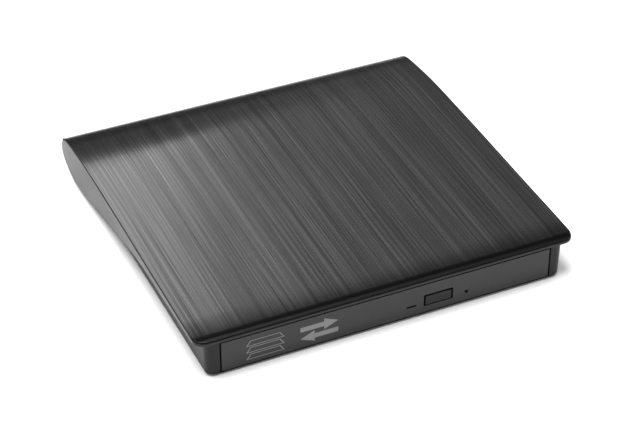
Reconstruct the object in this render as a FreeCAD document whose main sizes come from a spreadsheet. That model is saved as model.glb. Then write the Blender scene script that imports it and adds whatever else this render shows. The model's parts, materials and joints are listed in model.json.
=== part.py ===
import FreeCAD, Part
import math
import os
from types import SimpleNamespace

import Sketcher

# Slim external optical drive, in millimetres.
# X runs to the right, Y towards the rear and Z upwards. The origin is the middle of the
# underside, so the rubber feet stand on Z = 0. Depths are measured from the front face of
# the tray's bezel. The tray is closed and its latch is released.

doc = FreeCAD.newDocument("optical_drive")
sheet = doc.addObject("Spreadsheet::Sheet", "sizes")

SIZES = {
    # housing
    "cover_width": 147.3,
    "front": -69.72,
    "rim_under": 15.5,
    "skin_thickness": 0.7,
    "skin_inset": 0.15,
    "cover_corner": 4.5,
    "cavity_half": 69.95,
    "soffit": 14.15,
    "base_half": 69.3,
    "base_depth": 132.0,
    "base_wall": 1.5,
    "base_corner": 3.0,
    "base_draft": 0.5,
    "opening_half": 64.55,
    "pillar_depth": 6.5,
    "pillar_axis": 66.85,
    "foot_height": 0.7,
    "foot_radius": 4.5,
    "lip_top": 1.1,
    "floor_top": 1.4,
    "rear_wall_top": 5.4,
    # bezel
    "bezel_half": 64.0,
    "bezel_under": 1.4,
    "bezel_top": 13.7,
    "bezel_depth": 5.0,
    "bezel_face": 2.0,
    "bezel_wall": 1.2,
    # steel case of the drive
    "pan_half": 64.0,
    "pan_front": 5.8,
    "pan_rear": 127.4,
    "pan_sheet": 0.6,
    "pan_floor": 2.0,
    "lid_under": 12.9,
    "lid_top": 13.5,
    # tray
    "disc_centre": 66.2,
    "disc_recess": 60.4,
    "tray_half": 62.4,
    "skirt_half": 58.3,
    "skirt_inner": 56.8,
    "tray_rear": 123.0,
    "tray_front_inner": 6.8,
    "skirt_under": 3.6,
    "plate_under": 7.8,
    "disc_seat": 9.3,
    "tray_top": 10.9,
    "shield_under": 3.3,
    # slides
    "guide_front": 8.0,
    "guide_rear": 112.0,
    "rail_rear": 116.0,
    "rail_middle": 5.0,
    # flat ribbon
    "ribbon_left": 2.0,
    "ribbon_right": 18.0,
    "ribbon_low": 2.3,
    "ribbon_high": 3.0,
    "ribbon_thick": 0.15,
    "ribbon_fold": 57.0,
    # pickup mechanism, measured from the spindle along and across the sled's way
    "sled_angle": 225.0,
    "frame_under": 3.8,
    "frame_top": 4.6,
    "rod_radius": 1.0,
    "rod_height": 6.0,
    "rod_left": 17.0,
    "rod_right": -14.0,
    "screw_across": -19.0,
    "screw_height": 6.75,
    "lens_start": 23.0,
    "cover_under": 8.9,
    "spindle_radius": 1.45,
    "running_gap": 0.05,
}

for row, (alias, number) in enumerate(SIZES.items(), start=1):
    sheet.set(f"A{row}", alias)
    sheet.set(f"B{row}", str(number))
    sheet.setAlias(f"B{row}", alias)
doc.recompute()


class Size:
    """A length with both its number and the spreadsheet expression that gives it."""

    def __init__(self, number, text=None):
        self.number = float(number)
        self.text = text if text is not None else f"({self.number:.6g})"

    def combine(self, other, sign, number):
        return Size(number, f"({self.text} {sign} {other.text})")

    def __add__(self, other):
        other = size(other)
        return self.combine(other, "+", self.number + other.number)

    def __sub__(self, other):
        other = size(other)
        return self.combine(other, "-", self.number - other.number)

    def __mul__(self, other):
        other = size(other)
        return self.combine(other, "*", self.number * other.number)

    def __neg__(self):
        return Size(-self.number, f"(0 - {self.text})")


def size(value):
    return value if isinstance(value, Size) else Size(value)


s = SimpleNamespace(**{alias: Size(sheet.get(alias), f"sizes.{alias}") for alias in SIZES})


def deep(distance):
    """The Y of a point that lies this far behind the bezel's front face."""
    return s.front + distance


def deeps(near, far):
    return (deep(near), deep(far))


def either_side(value):
    return (-size(value), size(value))


def mirrored(span):
    return (-size(span[1]), -size(span[0]))


def about(middle, half):
    return (size(middle) - half, size(middle) + half)


# --- Sketched bodies ---------------------------------------------------------------------

# Each plane's role in a body's origin, and whether its normal runs along its world axis.
PLANES = {"XY": ("XY_Plane", 1), "XZ": ("XZ_Plane", -1), "YZ": ("YZ_Plane", 1)}


def new_body(name):
    body = doc.addObject("PartDesign::Body", name)
    body.Label = name
    return body


def bind_point(sketch, curve, corner, point):
    """Hold one point of a sketch at its two sizes."""
    for kind, axis, distance in (("DistanceX", -2, point[0]), ("DistanceY", -1, point[1])):
        if abs(distance.number) < 1e-9:
            sketch.addConstraint(Sketcher.Constraint("PointOnObject", curve, corner, axis))
            continue
        index = sketch.addConstraint(
            Sketcher.Constraint(kind, -1, 1, curve, corner, distance.number))
        sketch.setExpression(f"Constraints[{index}]", distance.text)


def polygon(*corners):
    points = [(size(x), size(y)) for x, y in corners]

    def draw(sketch):
        vectors = [FreeCAD.Vector(x.number, y.number, 0) for x, y in points]
        first = sketch.GeometryCount
        for start, end in zip(vectors, vectors[1:] + vectors[:1]):
            sketch.addGeometry(Part.LineSegment(start, end))
        for step, point in enumerate(points):
            following = first + (step + 1) % len(points)
            sketch.addConstraint(
                Sketcher.Constraint("Coincident", first + step, 2, following, 1))
            bind_point(sketch, first + step, 1, point)
    return draw


def rectangle(across, along):
    (x0, x1), (y0, y1) = across, along
    return polygon((x0, y0), (x1, y0), (x1, y1), (x0, y1))


def circle(x, y, radius):
    x, y, radius = size(x), size(y), size(radius)

    def draw(sketch):
        centre = FreeCAD.Vector(x.number, y.number, 0)
        curve = sketch.addGeometry(
            Part.Circle(centre, FreeCAD.Vector(0, 0, 1), radius.number))
        bind_point(sketch, curve, 3, (x, y))
        index = sketch.addConstraint(Sketcher.Constraint("Radius", curve, radius.number))
        sketch.setExpression(f"Constraints[{index}]", radius.text)
    return draw


def extrude(body, kind, plane, span, outlines):
    """Sketch outlines on one of the body's own planes and pad or pocket them over a span."""
    role, direction = PLANES[plane]
    low, high = size(span[0]), size(span[1])
    grows = direction if kind == "Pad" else -direction
    start = low if grows > 0 else high
    sketch = body.newObject("Sketcher::SketchObject", f"{body.Name}_{kind.lower()}_outline")
    origin_plane = next(f for f in body.Origin.OriginFeatures if f.Role == role)
    sketch.AttachmentSupport = (origin_plane, [""])
    sketch.MapMode = "FlatFace"
    sketch.setExpression("AttachmentOffset.Base.z", (start * direction).text)
    for draw in outlines:
        draw(sketch)
    feature = body.newObject(f"PartDesign::{kind}", f"{body.Name}_{kind.lower()}")
    feature.Profile = sketch
    feature.setExpression("Length", (high - low).text)
    return feature


def pad(body, plane, span, *outlines):
    return extrude(body, "Pad", plane, span, outlines)


def pocket(body, plane, span, *outlines):
    return extrude(body, "Pocket", plane, span, outlines)


def round_edges(body, radius, picked):
    """Fillet the edges of the body's tip for which picked says yes."""
    doc.recompute()
    tip = body.Tip
    names = [f"Edge{n}" for n, edge in enumerate(tip.Shape.Edges, start=1) if picked(edge)]
    fillet = body.newObject("PartDesign::Fillet", f"{body.Name}_fillet")
    fillet.Base = (tip, names)
    fillet.setExpression("Radius", size(radius).text)
    return fillet


def on_the_sled_frame(piece):
    """Turn a piece drawn round the spindle to where the mechanism lies in the tray."""
    piece.Placement = FreeCAD.Placement(
        FreeCAD.Vector(0, 0, 0), FreeCAD.Rotation(FreeCAD.Vector(0, 0, 1), 1))
    piece.setExpression("Placement.Base.y", deep(s.disc_centre).text)
    piece.setExpression("Placement.Rotation.Angle", s.sled_angle.text)


# --- Groups of plain solids ----------------------------------------------------------------


def block(name, x, y, z):
    """A box between two sizes along each axis."""
    box = doc.addObject("Part::Box", name)
    sides = (("Length", "x", x), ("Width", "y", y), ("Height", "z", z))
    for side, axis, (low, high) in sides:
        box.setExpression(side, (size(high) - low).text)
        box.setExpression(f"Placement.Base.{axis}", size(low).text)
    return box


def rod(name, radius, z, x=0, y=0):
    """An upright cylinder between two heights."""
    cylinder = doc.addObject("Part::Cylinder", name)
    cylinder.setExpression("Radius", size(radius).text)
    cylinder.setExpression("Height", (size(z[1]) - z[0]).text)
    for axis, low in (("x", x), ("y", y), ("z", z[0])):
        cylinder.setExpression(f"Placement.Base.{axis}", size(low).text)
    return cylinder


def group(name, pieces):
    compound = doc.addObject("Part::Compound", name)
    compound.Links = pieces
    compound.Label = name
    return compound


def fuse(name, pieces):
    union = doc.addObject("Part::MultiFuse", name)
    union.Shapes = pieces
    union.Label = name
    return union


# --- Housing -------------------------------------------------------------------------------

# The cover's side profile as depth and height: the top runs from the front crease to the
# edge of the skin on the rear roll, and the underside comes forward again.
TOP_LINE = (
    (-1.4, 17.2), (3.8, 17.4), (19.4, 17.75), (43.3, 18.15), (68.0, 18.7), (95.0, 19.0),
    (115.0, 18.8), (127.0, 17.95), (135.8, 16.6), (139.2, 14.75), (140.5, 12.2),
)
UNDER_LINE = (
    (140.5, 12.2), (141.0, 9.4), (140.1, 7.1), (138.0, 5.3), (132.5, 3.2), (125.5, 2.2),
    (119.0, 2.7), (108.4, 4.9), (95.8, 7.6), (79.2, 10.3), (63.7, 12.7), (48.6, 14.2),
    (23.4, 14.8), (-1.6, 15.5),
)
NOSE = -1.6
OFFSET_SAMPLES = 24
SCREW_PLACES = [(side, depth) for side in (-1, 1) for depth in (3.4, 121.0)]
FOOT_PLACES = [(side * 56.0, depth) for side in (-1, 1) for depth in (10.0, 118.0)]
DRIVE_SCREW_PLACES = [(side * 55.0, depth) for side in (-1, 1) for depth in (28.0, 105.0)]


def profile_point(depth, height):
    return FreeCAD.Vector(s.front.number + depth, height, 0)


def curve_through(points):
    curve = Part.BSplineCurve()
    curve.interpolate(points)
    return curve


def offset_inwards(curve, distance):
    """A curve that runs below the profile's top line at a constant distance."""
    first, last = curve.FirstParameter, curve.LastParameter
    points = []
    for sample in range(OFFSET_SAMPLES + 1):
        parameter = first + (last - first) * sample / OFFSET_SAMPLES
        along = curve.tangent(parameter)[0]
        points.append(curve.value(parameter) + FreeCAD.Vector(along.y, -along.x, 0) * distance)
    return curve_through(points)


def closed_outline(pieces):
    """Join curves end to end with straight lines and hold them where they are."""
    def draw(sketch):
        for piece, following in zip(pieces, pieces[1:] + pieces[:1]):
            index = sketch.addGeometry(piece)
            sketch.addConstraint(Sketcher.Constraint("Block", index))
            end = piece.value(piece.LastParameter)
            start = following.value(following.FirstParameter)
            if (end - start).Length > 1e-6:
                line = sketch.addGeometry(Part.LineSegment(end, start))
                sketch.addConstraint(Sketcher.Constraint("Block", line))
    return draw


def front_corners(body, half):
    """Round the two front corners of a cover piece."""
    nose = s.front.number + 1.0
    round_edges(body, s.cover_corner, lambda edge: all(
        vertex.Point.y < nose and abs(vertex.Point.x) > half - 0.01
        for vertex in edge.Vertexes) and len(edge.Vertexes) == 2
        and abs(edge.Vertexes[0].Point.z - edge.Vertexes[1].Point.z) > 0.3)


def make_top_skin():
    skin = new_body("top_skin")
    outer = curve_through([profile_point(*point) for point in TOP_LINE])
    inner = offset_inwards(outer, s.skin_thickness.number)
    inner.reverse()
    half = s.cover_width * 0.5 - s.skin_inset
    pad(skin, "YZ", (-half, half), closed_outline([outer, inner]))
    front_corners(skin, half.number)
    return skin


def make_upper_shell():
    shell = new_body("upper_shell")
    outer = curve_through([profile_point(*point) for point in TOP_LINE])
    roof = offset_inwards(outer, s.skin_thickness.number)
    under = curve_through([profile_point(*point) for point in UNDER_LINE])
    nose = profile_point(NOSE, UNDER_LINE[-1][1])
    rim_top = FreeCAD.Vector(nose.x, roof.value(roof.FirstParameter).y, 0)
    rim = Part.LineSegment(nose, rim_top)
    half = s.cover_width * 0.5
    pad(shell, "YZ", (-half, half), closed_outline([roof, under, rim]))
    front_corners(shell, half.number)
    cavity = polygon(
        (deep(-3.0), 0.2), (deep(132.2), 0.2), (deep(132.2), 5.2), (deep(136.5), 7.0),
        (deep(138.2), 10.0), (deep(137.2), 13.0), (deep(134.0), 14.8), (deep(127.0), 16.1),
        (deep(115.0), 16.8), (deep(95.0), 17.0), (deep(68.0), 16.7), (deep(43.0), 16.1),
        (deep(12.0), s.rim_under), (deep(-3.0), s.rim_under))
    pocket(shell, "YZ", either_side(s.cavity_half), cavity)
    pad(shell, "XY", (s.soffit, s.rim_under + 0.1),
        rectangle(either_side(s.opening_half - 0.1), deeps(0.2, 5.0)))
    pad(shell, "XY", (5.5, s.rim_under + 0.1),
        *[circle(s.pillar_axis * side, deep(depth), 1.9) for side, depth in SCREW_PLACES])
    pocket(shell, "XY", (5.5, 12.0),
           *[circle(s.pillar_axis * side, deep(depth), 1.0) for side, depth in SCREW_PLACES])
    pocket(shell, "XZ", deeps(136.0, 142.0), rectangle((-34.35, -25.95), (7.05, 11.65)))
    return shell


def make_base_shell():
    base = new_body("base_shell")
    under, top = s.foot_height, s.rim_under
    upper_half = s.base_half + s.base_draft
    pad(base, "XZ", deeps(0.0, s.base_depth),
        polygon((-s.base_half, under), (s.base_half, under), (upper_half, top),
                (-upper_half, top)))
    round_edges(base, s.base_corner, lambda edge: all(
        abs(vertex.Point.x) > s.base_half.number - 0.01 for vertex in edge.Vertexes)
        and abs(edge.Vertexes[0].Point.z - edge.Vertexes[-1].Point.z) > 10.0)
    round_edges(base, 0.6, lambda edge: all(
        abs(vertex.Point.z - under.number) < 1e-3 for vertex in edge.Vertexes))
    inside = s.base_half - s.base_wall
    rear_inside = s.base_depth - s.base_wall
    pocket(base, "XY", (s.floor_top, top),
           rectangle(either_side(inside), (deep(s.pillar_depth), deep(rear_inside))))
    pocket(base, "XY", (s.lip_top, top),
           rectangle(either_side(s.opening_half), (deep(-1.0), deep(s.pillar_depth))))
    pocket(base, "XY", (s.rear_wall_top, top),
           rectangle(either_side(s.cavity_half), deeps(124.0, s.base_depth + 1.0)))
    for side in (-1, 1):
        edges = sorted((side * s.opening_half.number, side * (inside.number + 0.2)))
        pad(base, "XY", (s.floor_top - 0.1, top), rectangle(edges, deeps(117.5, 124.0)))
    pad(base, "XY", (s.rear_wall_top - 0.5, 6.6),
        rectangle((-60.0, -56.0), deeps(130.5, 132.0)),
        rectangle((-14.0, -10.0), deeps(130.5, 132.0)))
    places = [(s.pillar_axis * side, deep(depth)) for side, depth in SCREW_PLACES]
    pocket(base, "XY", (5.4, top), *[circle(x, y, 2.05) for x, y in places])
    pocket(base, "XY", (2.2, 5.4), *[circle(x, y, 1.05) for x, y in places])
    pocket(base, "XY", (under, 2.2), *[circle(x, y, 1.95) for x, y in places])
    pocket(base, "XY", (under, s.floor_top),
           *[circle(x, deep(depth), 0.9) for x, depth in DRIVE_SCREW_PLACES])
    pocket(base, "XY", (under, 1.1),
           *[circle(x, deep(depth), 1.6) for x, depth in DRIVE_SCREW_PLACES])
    pocket(base, "XY", (under, 0.85),
           *[circle(x, deep(depth), s.foot_radius + 0.1) for x, depth in FOOT_PLACES])
    return base


def make_rubber_feet():
    return group("rubber_feet", [
        rod(f"foot_{number}", s.foot_radius, (0, 0.85), x, deep(depth))
        for number, (x, depth) in enumerate(FOOT_PLACES, start=1)])


def make_screws(name, places, head, shank):
    """Identical screws, each a head and a shank given as a radius and a span of heights."""
    screws = []
    for number, (x, y) in enumerate(places, start=1):
        pieces = [rod(f"{name}_head_{number}", head[0], head[1], x, y),
                  rod(f"{name}_shank_{number}", shank[0], shank[1], x, y)]
        screws.append(fuse(f"{name}_{number}", pieces))
    return group(name, screws)


def make_housing_screws():
    places = [(s.pillar_axis * side, deep(depth)) for side, depth in SCREW_PLACES]
    return make_screws("housing_screws", places, (1.8, (0.9, 2.2)), (0.95, (2.2, 9.5)))


def make_drive_screws():
    places = [(x, deep(depth)) for x, depth in DRIVE_SCREW_PLACES]
    return make_screws("drive_screws", places, (1.5, (0.75, 1.1)), (0.8, (1.1, 2.9)))


def make_bridge_board():
    board = new_body("bridge_board")
    pad(board, "XY", (6.6, 7.4), rectangle((-62.0, -8.0), deeps(128.4, 135.0)))
    return board


def make_usb_socket():
    socket = new_body("usb_socket")
    pad(socket, "XZ", deeps(131.3, 140.3), rectangle((-34.0, -26.3), (7.4, 11.3)))
    round_edges(socket, 0.8, lambda edge: abs(
        edge.Vertexes[0].Point.y - edge.Vertexes[-1].Point.y) > 5.0)
    pocket(socket, "XZ", deeps(131.7, 140.3), rectangle((-33.6, -26.7), (7.8, 10.9)))
    return socket


def make_usb_tongue():
    tongue = new_body("usb_tongue")
    pad(tongue, "XZ", deeps(131.7, 132.9), rectangle((-33.5, -26.8), (7.9, 10.8)))
    pad(tongue, "XZ", deeps(132.8, 139.6), rectangle((-32.6, -27.7), (8.9, 9.8)))
    return tongue


def make_bridge_parts():
    chip = block("bridge_chip", (-20.0, -14.0), deeps(129.2, 134.2), (7.4, 8.3))
    chip.Label = "bridge_chip"
    crystal = block("clock_crystal", (-24.6, -21.4), deeps(129.6, 132.1), (7.4, 8.2))
    crystal.Label = "clock_crystal"
    capacitors = group("board_capacitors", [
        block(f"capacitor_{number}", (x, x + 1.2), deeps(129.2, 131.2), (7.4, 8.2))
        for number, x in enumerate((-61.0, -58.6, -56.2, -38.0, -12.4, -10.4), start=1)])
    plug = block("sata_plug", (-57.0, -27.0), deeps(127.9, 130.3), (3.5, 6.6))
    plug.Label = "sata_plug"
    return [chip, crystal, capacitors, plug]


# --- Drive: fixed pieces -------------------------------------------------------------------

LID_SCREW_PLACES = [(side * 61.6, depth) for side in (-1, 1) for depth in (9.0, 124.6)]


def make_drive_pan():
    pan = new_body("drive_pan")
    ends = deeps(s.pan_front, s.pan_rear)
    pad(pan, "XY", (s.floor_top, s.lid_under), rectangle(either_side(s.pan_half), ends))
    inside = s.pan_half - s.pan_sheet
    pocket(pan, "XY", (s.pan_floor, s.lid_under),
           rectangle(either_side(inside), (deep(0.0), deep(s.pan_rear - s.pan_sheet))))
    for x, depth in LID_SCREW_PLACES:
        outer = inside.number + 0.1
        tab = (60.2, outer) if x > 0 else (-outer, -60.2)
        pad(pan, "XY", (s.lid_under - 0.6, s.lid_under),
            rectangle(tab, deeps(depth - 1.6, depth + 1.6)))
    pocket(pan, "XY", (11.0, s.lid_under),
           *[circle(x, deep(depth), 0.75) for x, depth in LID_SCREW_PLACES])
    pocket(pan, "XY", (s.floor_top, s.pan_floor),
           *[circle(x, deep(depth), 0.85) for x, depth in DRIVE_SCREW_PLACES])
    pocket(pan, "XZ", deeps(126.0, 128.0), rectangle((-58.2, -25.8), (2.9, 7.2)))
    return pan


def make_drive_lid():
    lid = new_body("drive_lid")
    pad(lid, "XY", (s.lid_under, s.lid_top),
        rectangle(either_side(s.pan_half), deeps(s.pan_front, s.pan_rear)))
    pocket(lid, "XY", (s.lid_under, s.lid_top),
           *[circle(x, deep(depth), 0.75) for x, depth in LID_SCREW_PLACES])
    pocket(lid, "XY", (s.lid_under, s.lid_under + 0.25),
           circle(0, deep(s.disc_centre), 22.0))
    return lid


def make_lid_screws():
    places = [(x, deep(depth)) for x, depth in LID_SCREW_PLACES]
    return make_screws("lid_screws", places, (1.5, (13.5, 13.9)), (0.7, (11.6, 13.5)))


def make_guide(name, side):
    guide = new_body(name)
    outer = s.pan_half - s.pan_sheet
    low, high = s.rail_middle - 2.4, s.rail_middle + 2.4
    slot = (s.rail_middle - 1.5, s.rail_middle + 1.5)
    span = (61.6, outer)
    groove = (61.5, 62.6)
    if side < 0:
        span, groove = mirrored(span), mirrored(groove)
    ends = deeps(s.guide_front, s.guide_rear)
    pad(guide, "XY", (low, high), rectangle(span, ends))
    pocket(guide, "XY", slot, rectangle(groove, deeps(7.0, 113.0)))
    return guide


def make_drive_board():
    board = new_body("drive_board")
    pad(board, "XY", (2.2, 3.0), polygon(
        (-62.0, deep(112.0)), (-20.0, deep(112.0)), (-20.0, deep(123.6)),
        (20.0, deep(123.6)), (20.0, deep(126.6)), (-62.0, deep(126.6))))
    return board


def make_sata_socket():
    socket = new_body("sata_socket")
    pad(socket, "XY", (3.0, 6.8), rectangle((-57.6, -26.4), deeps(118.0, 127.8)))
    pocket(socket, "XZ", deeps(124.0, 127.8), rectangle((-56.2, -27.8), (4.2, 5.8)))
    return socket


def make_latch_post():
    post = rod("latch_post", 1.0, (s.pan_floor, 5.6), 50.0, deep(16.0))
    post.Label = "latch_post"
    return post


def make_ribbon(name, level, ends, folded):
    """One layer of the flat ribbon. The lower one also carries the fold at the front."""
    ribbon = new_body(name)
    across = (s.ribbon_left, s.ribbon_right)
    pad(ribbon, "XY", (level, level + s.ribbon_thick), rectangle(across, ends))
    if folded:
        centre = (s.ribbon_low + s.ribbon_high + s.ribbon_thick) * 0.5
        outer = (s.ribbon_high + s.ribbon_thick - s.ribbon_low) * 0.5
        fold = deep(s.ribbon_fold)
        pad(ribbon, "YZ", across, circle(fold, centre, outer),
            circle(fold, centre, outer - s.ribbon_thick))
        pocket(ribbon, "XY", (s.ribbon_low + s.ribbon_thick, s.ribbon_high + 0.3),
               rectangle(across, (fold, fold + 2.0)))
    return ribbon


# --- Drive: middle rails -------------------------------------------------------------------


def make_rail(name, side):
    rail = new_body(name)
    span = (58.5, 62.5)
    groove = (58.4, 61.3)
    if side < 0:
        span, groove = mirrored(span), mirrored(groove)
    ends = deeps(s.guide_front, s.rail_rear)
    pad(rail, "XY", (s.rail_middle - 1.4, s.rail_middle + 1.4), rectangle(span, ends))
    pocket(rail, "XY", (s.rail_middle - 0.6, s.rail_middle + 0.6),
           rectangle(groove, deeps(7.0, 117.0)))
    return rail


# --- Tray ----------------------------------------------------------------------------------

BUTTON_OPENING = ((13.4, 24.9), (4.2, 9.0))
LIGHT_SLOT = ((6.6, 10.4), (5.2, 5.8))
PIN_HOLE = (30.4, 5.33, 0.65)
LEVER_PIVOT = (54.9, 10.5)
# The ejector's X, its height and the depth of the rib that its spring pushes on.
EJECTOR = (54.2, 5.4, 104.8)
# The mechanism's opening in the tray, along and across the sled's way from the spindle.
MECHANISM_OUTLINE = ((-19.0, -23.0), (57.0, -23.0), (66.0, -14.0), (66.0, 15.5),
                     (58.0, 23.0), (-19.0, 23.0))


def around_spindle(along, across):
    """The X and Y of a point given along and across the sled's way."""
    turn = math.radians(s.sled_angle.number)
    x = along * math.cos(turn) - across * math.sin(turn)
    y = along * math.sin(turn) + across * math.cos(turn)
    return (x, deep(s.disc_centre) + y)


def make_disc_tray():
    tray = new_body("disc_tray")
    pad(tray, "XY", (s.plate_under, s.tray_top),
        rectangle(either_side(s.tray_half), deeps(s.bezel_depth, s.tray_rear)))
    pad(tray, "XY", (s.skirt_under, s.plate_under),
        rectangle(either_side(s.skirt_half), deeps(s.bezel_depth, s.tray_rear)))
    for side in (-1, 1):
        tongue = sorted((side * (s.skirt_half.number - 0.2), side * 61.2))
        pad(tray, "XY", (s.rail_middle - 0.5, s.rail_middle + 0.5),
            rectangle(tongue, deeps(s.guide_front, 108.0)))
    pocket(tray, "XY", (s.skirt_under, s.plate_under),
           rectangle(either_side(s.skirt_inner), deeps(s.tray_front_inner, 121.5)))
    pocket(tray, "XY", (s.disc_seat, s.tray_top),
           circle(0, deep(s.disc_centre), s.disc_recess))
    pocket(tray, "XY", (s.disc_seat - 0.4, s.disc_seat),
           circle(0, deep(s.disc_centre), 41.0))
    pocket(tray, "XY", (s.plate_under, s.tray_top),
           polygon(*[around_spindle(*corner) for corner in MECHANISM_OUTLINE]))
    pocket(tray, "XY", (s.skirt_under, s.tray_top),
           rectangle((-63.0, -18.0), deeps(110.0, 124.0)))
    pocket(tray, "XZ", deeps(121.0, 124.0), rectangle((48.5, 56.4), (s.skirt_under, 7.2)))
    pocket(tray, "XZ", deeps(4.0, 7.0), rectangle((17.6, 20.8), (5.2, 7.6)))
    pocket(tray, "XZ", deeps(4.0, 7.0), rectangle((6.4, 10.6), (5.0, 6.0)))
    pocket(tray, "XZ", deeps(4.0, 7.0), circle(*PIN_HOLE))
    pad(tray, "XY", (3.9, s.plate_under), circle(LEVER_PIVOT[0], deep(LEVER_PIVOT[1]), 0.9))
    pad(tray, "XY", (s.skirt_under, s.plate_under),
        rectangle((52.0, s.skirt_inner), deeps(103.0, EJECTOR[2])))
    return tray


def make_front_bezel():
    bezel = new_body("front_bezel")
    pad(bezel, "XZ", deeps(0.0, s.bezel_depth),
        rectangle(either_side(s.bezel_half), (s.bezel_under, s.bezel_top)))
    front = s.front.number + 1e-3
    round_edges(bezel, 0.3, lambda edge: all(v.Point.y < front for v in edge.Vertexes))
    inside = s.bezel_half - s.bezel_wall
    pocket(bezel, "XZ", deeps(s.bezel_face, s.bezel_depth),
           rectangle(either_side(inside),
                     (s.bezel_under + s.bezel_wall, s.bezel_top - s.bezel_wall)))
    pocket(bezel, "XZ", deeps(0.0, s.bezel_face), rectangle(*BUTTON_OPENING))
    pocket(bezel, "XZ", deeps(0.0, s.bezel_face), rectangle(*LIGHT_SLOT))
    pocket(bezel, "XZ", deeps(0.0, s.bezel_face), circle(*PIN_HOLE))
    return bezel


def make_light_guide():
    guide = new_body("light_guide")
    pad(guide, "XZ", deeps(0.9, 7.8), rectangle((6.65, 10.35), (5.25, 5.75)))
    return guide


def make_tray_electronics():
    button_board = block("button_board", (2.0, 25.0), deeps(7.0, 12.0), (4.0, 4.8))
    led = block("indicator_led", (7.5, 9.5), deeps(7.9, 9.1), (4.8, 6.0))
    switch = block("eject_switch", (16.6, 21.8), deeps(8.0, 11.2), (4.8, 7.6))
    board = block("tray_board", (-17.0, 46.0), deeps(97.0, 121.4), (4.0, 4.8))
    socket = block("ribbon_socket", (1.0, 19.0), deeps(119.0, 121.4), (2.8, 4.0))
    singles = [button_board, led, switch, board, socket]
    for piece in singles:
        piece.Label = piece.Name
    chips = group("tray_board_chips", [
        block("drive_controller", (14.0, 28.0), deeps(101.0, 115.0), (4.8, 6.2)),
        block("motor_driver", (-6.0, 4.0), deeps(104.0, 112.0), (4.8, 6.0)),
        block("memory_chip", (33.0, 41.0), deeps(104.0, 110.0), (4.8, 5.8))])
    return singles + [chips]


def make_tray_shield():
    shield = new_body("tray_shield")
    pad(shield, "XY", (s.shield_under, s.skirt_under), polygon(
        (-57.8, deep(8.0)), (48.0, deep(8.0)), (48.0, deep(118.5)), (-17.5, deep(118.5)),
        (-17.5, deep(109.5)), (-57.8, deep(109.5))))
    return shield


def make_latch_solenoid():
    case = block("solenoid_case", (36.0, 46.0), deeps(10.0, 18.0), (s.skirt_under, 7.4))
    plunger = block("solenoid_plunger", (45.9, 47.6), deeps(13.0, 15.0), (4.6, 6.4))
    return fuse("latch_solenoid", [case, plunger])


def make_ejector():
    pusher = new_body("ejector_pusher")
    x, z, back = EJECTOR
    pad(pusher, "XZ", deeps(back, 126.6), circle(x, z, 1.0))
    pad(pusher, "XZ", deeps(119.5, 121.0), circle(x, z, 1.8))
    spring = doc.addObject("Part::Feature", "ejector_spring")
    length, wire, radius, turns = 14.2, 0.18, 1.4, 11
    helix = Part.makeHelix(length / turns, length, radius)
    start = FreeCAD.Vector(radius, 0, 0)
    ring = Part.Wire(Part.Circle(start, FreeCAD.Vector(0, 1, 0), wire).toShape())
    spring.Shape = Part.Wire(helix.Edges).makePipeShell([ring], True, True)
    spring.Placement = FreeCAD.Placement(
        FreeCAD.Vector(x, s.front.number + back + 0.25, z),
        FreeCAD.Rotation(FreeCAD.Vector(1, 0, 0), -90))
    spring.Label = "ejector_spring"
    return [pusher, spring]


# --- Mechanism in the tray -----------------------------------------------------------------
# These pieces are drawn round the spindle: X runs outwards along the sled's way, Y across it.

ROD_ENDS = (12.2, 59.0)
FRAME_OUTLINE = ((-18.0, -22.0), (57.0, -22.0), (59.5, -19.5), (59.5, 19.0), (56.0, 22.0),
                 (-18.0, 22.0))
DAMPER_PLACES = ((-14.0, -18.5), (-14.0, 18.5), (50.0, -19.6))
CLAMP_RADIUS = 6.9
PICKUP_BACK = 15.0
BUSH_END = 21.0
PICKUP_TIP = 29.0


def make_mechanism_frame():
    frame = new_body("mechanism_frame")
    pad(frame, "XY", (s.frame_under, s.frame_top), polygon(*FRAME_OUTLINE))
    pocket(frame, "XY", (s.frame_under, s.frame_top), rectangle((15.0, 55.0), (-11.0, 14.0)))
    for across in (s.rod_left, s.rod_right):
        for ends in ((12.2, 14.2), (57.0, 59.0)):
            pad(frame, "XY", (s.frame_top - 0.1, 7.4), rectangle(ends, about(across, 1.9)))
            pocket(frame, "YZ", ends, circle(across, s.rod_height, s.rod_radius))
    pad(frame, "XY", (s.frame_top - 0.1, 8.0),
        rectangle((57.0, 58.4), about(s.screw_across, 1.6)))
    pocket(frame, "YZ", (57.0, 58.4), circle(s.screw_across, s.screw_height, 0.65))
    pocket(frame, "XY", (s.frame_under, s.frame_top),
           *[circle(along, across, 1.2) for along, across in DAMPER_PLACES])
    on_the_sled_frame(frame)
    return frame


def make_mechanism_cover():
    cover = new_body("mechanism_cover")
    inset = 0.3
    corners = [(along - math.copysign(inset, along), across - math.copysign(inset, across))
               for along, across in MECHANISM_OUTLINE]
    pad(cover, "XY", (s.cover_under, s.disc_seat), polygon(*corners))
    pocket(cover, "XY", (s.cover_under, s.disc_seat), circle(0, 0, 15.3))
    pocket(cover, "XY", (s.cover_under, s.disc_seat), rectangle((10.0, 63.5), (-6.0, 6.0)))
    on_the_sled_frame(cover)
    return cover


def make_lying_rod(body, span, across, height, radius):
    return pad(body, "YZ", span, circle(across, height, radius))


def make_guide_rods():
    rods = []
    for name, across in (("left", s.rod_left), ("right", s.rod_right)):
        rod_body = new_body(f"guide_rod_{name}")
        make_lying_rod(rod_body, ROD_ENDS, across, s.rod_height, s.rod_radius)
        rods.append(rod_body)
    rods_group = group("guide_rods", rods)
    on_the_sled_frame(rods_group)
    return rods_group


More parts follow.
